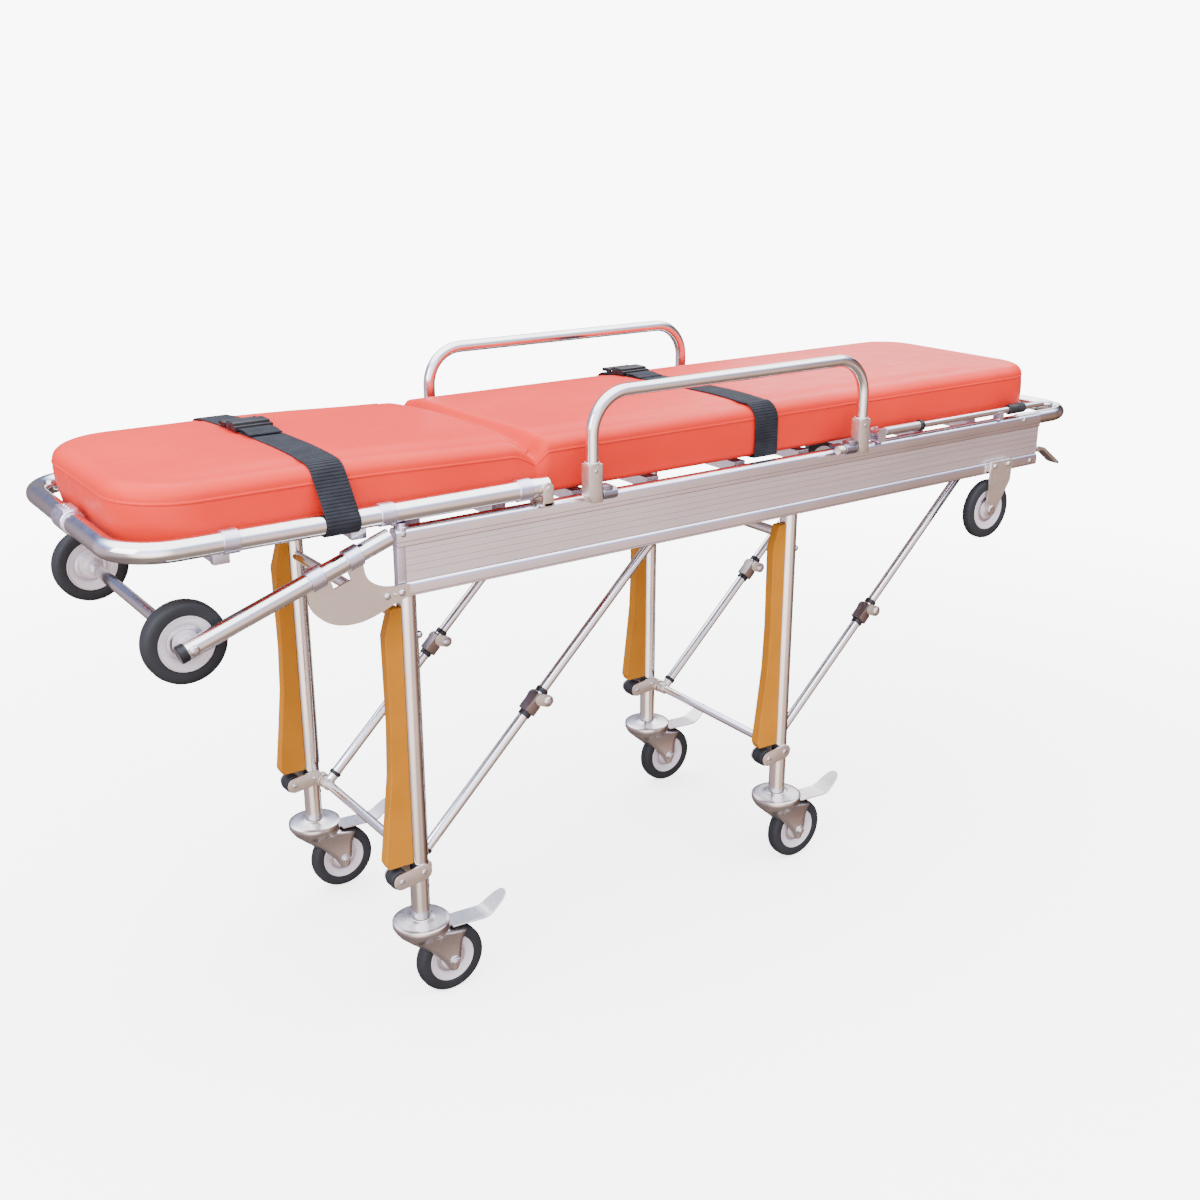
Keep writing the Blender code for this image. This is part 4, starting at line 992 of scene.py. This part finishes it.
def crease_depth(x, y):
    """How far the fold pulls the surface down: a long slope from the back, a steep seat edge."""
    share = min(abs(y) / MATTRESS["half"], 1.0)
    depth = 0.013 + 0.016 * share ** 1.8
    offset = crease_offset(x, y)
    reach = 0.028 + 0.018 * share if offset < 0 else 0.013 + 0.012 * share
    if abs(offset) >= reach:
        return 0.0
    fall = 1.0 - abs(offset) / reach
    return depth * (fall ** 1.6 if offset < 0 else ease(fall))


def back_rise(x):
    """How much higher the top of the back cushion stands towards the head."""
    return 0.010 * ease((CREASE["x"] - x) / 0.34)


def strap_places(y):
    """x of the middle of each strap at a distance y from the centre line."""
    return [x + STRAP_SLANT[section] * y for section, x in STRAPS.items()]


def strap_dent(x, y):
    """How far a tight strap presses into the top."""
    return sum(0.0016 * (1 - ease((abs(x - strap_x) - 0.022) / 0.022)) for strap_x in strap_places(y))


def top_height(x, y):
    """Height of the upholstery's top surface."""
    inward = 1.0 - min(abs(y) / MATTRESS["half"], 1.0)
    ends = min(x - MATTRESS["head"], MATTRESS["foot"] - x) / 0.22
    bulge = MATTRESS["crown"] * (1 - (1 - min(inward * 1.5, 1.0)) ** 2) * ease(min(max(ends, 0.0), 1.0))
    wander = 0.0007 * noise.noise(Vector((x * 6.0, y * 8.0, 0.3)))
    return MATTRESS["top"] + back_rise(x) + bulge + wander - crease_depth(x, y) - strap_dent(x, y)


def side_stations():
    """x of the points along a long side, close together at the fold."""
    places = []
    x = MATTRESS["head"] + MATTRESS_CORNER["head"]
    stop = MATTRESS["foot"] - MATTRESS_CORNER["foot"]
    while x < stop - 0.004:
        places.append(x)
        near_fold = abs(x - CREASE["x"]) < 0.07
        x += 0.0022 if near_fold else 0.0075
    return places + [stop]


def mattress_plan():
    """Plan of the mattress as (x, y, outward normal), all the way round."""
    points = []
    half = MATTRESS["half"]
    stations = side_stations()
    corners = ((MATTRESS["foot"], 1, "foot", 0), (MATTRESS["head"], 1, "head", 90),
               (MATTRESS["head"], -1, "head", 180), (MATTRESS["foot"], -1, "foot", 270))
    for x, sign, end, first in corners:
        radius = MATTRESS_CORNER[end]
        centre_x = x - math.copysign(radius, x)
        centre_y = sign * (half - radius)
        for k in range(13):
            angle = math.radians(first + 90 * k / 12)
            out = Vector((math.cos(angle), math.sin(angle)))
            points.append((centre_x + radius * out.x, centre_y + radius * out.y, out))
        if first == 0:
            points += [(place, half, Vector((0, 1))) for place in reversed(stations[1:-1])]
        elif first == 180:
            points += [(place, -half, Vector((0, -1))) for place in stations[1:-1]]
        elif first == 90:
            inner = half - radius
            points += [(x, inner - 2 * inner * k / 20, Vector((-1, 0))) for k in range(1, 20)]
        else:
            inner = half - radius
            points += [(x, -inner + 2 * inner * k / 24, Vector((1, 0))) for k in range(1, 24)]
    return points


def side_profile():
    """The upholstery's side as (inset, height), from the bottom up."""
    rows = []
    low = 0.011
    for k in range(6):
        angle = math.radians(90 * k / 5)
        rows.append((low * (1 - math.sin(angle)), MATTRESS["bottom"] + low * (1 - math.cos(angle))))
    top_of_side = PIPING_Z - 0.0030
    for k in range(1, 10):
        share = k / 10
        z = MATTRESS["bottom"] + low + (top_of_side - MATTRESS["bottom"] - low) * share
        rows.append((-0.0016 * math.sin(math.pi * share), z))
    for inset, up in ((0.0003, -0.0030), (0.0006, -0.0021), (-0.0004, -0.0013), (-0.0010, 0.0),
                      (-0.0004, 0.0013), (0.0007, 0.0021), (0.0007, 0.0030)):
        rows.append((inset, PIPING_Z + up))
    rise = MATTRESS["top"] - PIPING_Z - 0.0030
    for k in range(1, 9):
        angle = math.radians(90 * k / 8)
        inset = 0.0007 + MATTRESS_EDGE * (1 - math.cos(angle))
        rows.append((inset, PIPING_Z + 0.0030 + rise * math.sin(angle)))
    return rows


def side_point(x, y, out, inset, z):
    """A point of the upholstery's side, pulled in and down near the fold."""
    share = (z - MATTRESS["bottom"]) / (MATTRESS["top"] - MATTRESS["bottom"])
    pull = crease_depth(x, y)
    lowered = z - pull * share ** 1.5 + back_rise(x) * share
    drawn = inset + pull * 0.35 * share
    drawn -= 0.009 * max(-out.x, 0.0) * ease(share * 1.3)
    ripple = 0.0008 * noise.noise(Vector((x * 9.0, y * 9.0, z * 14.0)))
    return Vector((x - out.x * (drawn + ripple), y - out.y * (drawn + ripple), lowered))


def build_mattress():
    plan = mattress_plan()
    rings = []
    rows = side_profile()
    reach = rows[-1][0]
    for share in (1.0, 0.6, 0.25):
        rings.append([top_point(x, y, out, rows[0][0], share, MATTRESS["bottom"]) for x, y, out in plan])
    rings += [[side_point(x, y, out, inset, z) for x, y, out in plan] for inset, z in rows]
    for k in range(1, 27):
        rings.append([top_point(x, y, out, reach, k / 26, None) for x, y, out in plan])
    bm = loft(rings, capped=False)
    bmesh.ops.remove_doubles(bm, verts=bm.verts, dist=0.0002)
    pad = piece("mattress", [bm], "vinyl", None, ["mattress_back", "mattress_seat"], 60)
    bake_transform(pad)


def top_point(x, y, out, inset, share, flat_z):
    """A point on the way from the edge to the mattress's spine, on the top or the flat bottom."""
    edge = Vector((x - out.x * inset, y - out.y * inset))
    spine_x = min(max(edge.x, MATTRESS["head"] + 0.2), MATTRESS["foot"] - 0.2)
    place = edge.lerp(Vector((spine_x, 0.0)), share)
    if flat_z is not None:
        return Vector((place.x, place.y, flat_z))
    start = MATTRESS["top"] + back_rise(x) - crease_depth(x, y)
    return Vector((place.x, place.y, start + (top_height(place.x, place.y) - start) * ease(share * 6)))


# ---- straps -------------------------------------------------------------------------

def arc(centre, radius, start_deg, end_deg, steps):
    angles = [math.radians(start_deg + (end_deg - start_deg) * k / steps) for k in range(steps + 1)]
    return [Vector((centre[0] + radius * math.cos(a), centre[1] + radius * math.sin(a))) for a in angles]


def strap_half(section, x, offset):
    """The left half of a strap's line as (y, z), from the middle of the mattress outward."""
    line = []
    stop = MATTRESS["half"] - MATTRESS_EDGE
    for k in range(41):
        y = stop * k / 40
        line.append(Vector((y, top_height(x, y) + offset)))
    edge = (stop, MATTRESS["top"] + back_rise(x) - MATTRESS_EDGE)
    if section == "seat":
        line += arc(edge, MATTRESS_EDGE + 0.0030 + offset, 78, 0, 12)
        line += arc((MATTRESS["half"] + 0.0018, MATTRESS["bottom"] + 0.002), 0.0012 + offset, 0, -90, 6)
        line.append(Vector((MATTRESS["half"] - 0.035, MATTRESS["bottom"] - offset)))
        return line
    tube_centre = (BACK_TUBE["y"], BACK_PIVOT[1])
    gap = Vector(tube_centre) - Vector(edge)
    slant = math.degrees(math.acos((MATTRESS_EDGE - BACK_TUBE["radius"]) / gap.length))
    slant += math.degrees(math.atan2(gap.y, gap.x))
    line += arc(edge, MATTRESS_EDGE + offset + 0.0008, 78, slant, 8)
    line += arc(tube_centre, BACK_TUBE["radius"] + offset + 0.0003, slant, -112, 16)
    return line


def resampled(line, step):
    """The same line as evenly spaced points."""
    lengths = [0.0]
    for before, after in zip(line, line[1:]):
        lengths.append(lengths[-1] + (after - before).length)
    count = int(lengths[-1] / step)
    even, i = [], 0
    for k in range(count + 1):
        goal = lengths[-1] * k / count
        while i < len(line) - 2 and lengths[i + 1] < goal:
            i += 1
        share = (goal - lengths[i]) / max(lengths[i + 1] - lengths[i], 1e-9)
        even.append(line[i].lerp(line[i + 1], share))
    return even


def webbing_band(line, x, slant):
    """Ribbed webbing along a line of (y, z) points, centred at x and drifting with y."""
    rings = []
    half = STRAP["width"] / 2
    count = len(line)
    for i, point in enumerate(line):
        along = (line[min(i + 1, count - 1)] - line[max(i - 1, 0)]).normalized()
        up = Vector((-along.y, along.x))
        phase = abs((i * RIB_STEP / STRAP["rib"]) % 1.0 - 0.5) * 2
        thick = STRAP["thickness"] - STRAP["groove"] * ease((phase - 0.62) / 0.30)
        section = [(-half, 0.25), (-half, 0.75), (-half + 0.0012, 1.0)]
        section += [(half * (2 * k / 8 - 1) * 0.93, 1.0) for k in range(1, 8)]
        section += [(half - 0.0012, 1.0), (half, 0.75), (half, 0.25), (half - 0.0012, 0.0),
                    (-half + 0.0012, 0.0)]
        rings.append([(x + slant * point.x + a, point.x + up.x * b * thick, point.y + up.y * b * thick)
                      for a, b in section])
    return loft(rings)


def build_strap(section, buckle_y, body):
    """Webbing over the mattress, closed with a side-release buckle."""
    x = STRAPS[section]
    slant = STRAP_SLANT[section]
    half = strap_half(section, x, 0.0004)
    line = [Vector((-p.x, p.y)) for p in reversed(half[1:])] + half
    band = webbing_band(resampled(line, RIB_STEP), x, slant)
    piece(f"strap_band_{section}", [band], "webbing", body, [f"strap_{section}"], 50)
    z = top_height(x, buckle_y) + STRAP["thickness"] + 0.0006
    build_buckle(section, x + slant * buckle_y, buckle_y, z, body)


def build_buckle(section, x, y, z, body):
    wide = STRAP["width"] / 2 + 0.004
    shell = [slab((x - wide, y - 0.020, z), (x + wide, y + 0.012, z + 0.0125), 0.0028)]
    lip = wide + 0.0015
    shell.append(slab((x - lip, y - 0.027, z + 0.0005), (x + lip, y - 0.0185, z + 0.0085), 0.002))
    tongue = [slab((x - 0.0225, y + 0.010, z + 0.0020), (x + 0.0225, y + 0.022, z + 0.0100), 0.0022)]
    for sign in (-1, 1):
        low, high = sorted((x + sign * 0.0215, x + sign * (wide + 0.0012)))
        tongue.append(slab((low, y - 0.006, z + 0.0020), (high, y + 0.010, z + 0.0098), 0.002))
    for shift in (0.026, 0.033, 0.040):
        line = [(x + sign * wide, y + shift, z + 0.0042) for sign in (-1, 1)]
        tongue.append(tube(line, 0.0026, 14))
    for sign in (-1, 1):
        low, high = sorted((x + sign * wide, x + sign * (wide - 0.0045)))
        tongue.append(slab((low, y + 0.018, z + 0.0008), (high, y + 0.043, z + 0.0070), 0.0014))
    piece(f"buckle_shell_{section}", shell, "black", body)
    piece(f"buckle_tongue_{section}", tongue, "black", body)
    tail = [Vector((y - 0.030 - 0.0014 * k, z + 0.0030 + 0.0012 * math.sin(k * 0.16))) for k in range(32)]
    flap = webbing_band(resampled(list(reversed(tail)), RIB_STEP), x, 0.0)
    piece(f"strap_tail_{section}", [flap], "webbing", body, (), 50)


# ---- side rails and pole ------------------------------------------------------------

def build_side_rail(name, side):
    y = side * RAIL_Y
    first, last = RAIL_POSTS
    body = f"side_rail_{name}"
    corners = [(first, y, 0.850), (first, y, RAIL_TOP), (last, y, RAIL_TOP), (last, y, 0.850)]
    hoop = tube(rounded(corners, 0.065, 16), RAIL_RADIUS, 32)
    piece(f"rail_hoop_{name}", [hoop], "tube", body, [f"side_rail_{name}"])
    feet, pins = [], []
    for post, inward in ((first, 1), (last, -1)):
        low, high = sorted((side * 0.2490, side * 0.2712))
        feet.append(plate([(post + a, z) for a, z in RAIL_FOOT], low, high, 0.0022))
        feet.append(tube([(post, y, 0.8785), (post, y, 0.8815)], 0.0122, 32))
        pins.append(tube([(post + inward * reach, side * RAIL_PIVOT[0], RAIL_PIVOT[1])
                          for reach in (0.010, 0.032)], 0.004, 16))
        pins.append(dome((post, side * 0.2710, 0.868), (0, side, 0), 0.0030, 0.0014))
    piece(f"rail_feet_{name}", feet, "plate", body)
    piece(f"rail_pins_{name}", pins, "bolt", body)
    covers = []
    for place, post, inward in (("head", first, 1), ("foot", last, -1)):
        dress(f"rail_hinge_{place}_{name}", "hinge", 0.0008)
        near, far = sorted((post + inward * 0.0145, post + inward * 0.0345))
        covers.append(side_slab(side, (near, 0.2480, 0.8205), (far, 0.2705, 0.8425), 0.0045))
        covers.append(tube([(post + inward * reach, side * RAIL_PIVOT[0], RAIL_PIVOT[1])
                            for reach in (0.0340, 0.0375)], 0.0072, 28))
    piece(f"rail_hinge_covers_{name}", covers, "hinge", "chassis")
    dress(f"latch_knob_{name}", "plate", 0.0010)


def build_pole():
    x, y, z = POLE["pivot"], POLE["y"], POLE["z"]
    dress("pole_bracket", "band", 0.0006)
    lower = [tube([(x + 0.014, y, z), (0.512, y, z)], 0.0085, 32),
             tube([(x + 0.006, y, z), (x + 0.016, y, z)], 0.0066, 24)]
    piece("pole_lower_tube", lower, "cast", "pole_outer", ["pole_outer"])
    eye = tube([(x, y - 0.0085, z), (x, y + 0.0085, z)], 0.0085, 32)
    piece("pole_eye", [eye], "bolt", "pole_outer")
    ring = turned([(0.0067, 0.0045), (0.0098, 0.0045), (0.0108, 0.0032), (0.0108, 0.0)],
                  (0.5165, y, z), (1, 0, 0))
    piece("pole_lock_ring", [ring], "black", "pole_outer")
    upper = tube([(0.424, y, z), (0.872, y, z)], 0.0062, 28)
    piece("pole_upper_tube", [upper], "tube", "pole_inner", ["pole_inner"])
    grip = [(0.0062, 0.0225), (0.0088, 0.0225), (0.0100, 0.0210)]
    for k in range(8):
        grip += [(0.0100, 0.0190 - 0.0024 * k), (0.0094, 0.0182 - 0.0024 * k)]
    piece("pole_grip", [turned(grip, (0.7900, y, z), (1, 0, 0))], "black", "pole_inner")
    loop = [(0.884 + 0.012 * math.cos(a), y + 0.012 * math.sin(a), z)
            for a in (math.radians(180 + 300 * k / 28) for k in range(29))]
    piece("pole_hook", [tube(loop, 0.0022, 12)], "tube", "pole_inner")


# ---- everything ---------------------------------------------------------------------

make_camera()
make_world()
make_floor()
make_lights()
MATERIALS = make_materials()
build_foot_end()
build_chassis_wheels()
for name, side in SIDES.items():
    build_beam(name, side)
    build_strut(name, side)
    build_transit(name, side)
    build_side_rail(name, side)
for end, leg_x in LEGS.items():
    build_leg(end, leg_x)
    build_lower_brace(end, leg_x)
    for name, side in SIDES.items():
        build_upper_brace(end, leg_x, name, side)
        build_caster(end, leg_x, name, side)
build_back()
build_mattress()
build_strap("back", 0.050, "back_section")
build_strap("seat", 0.150, "chassis")
build_pole()
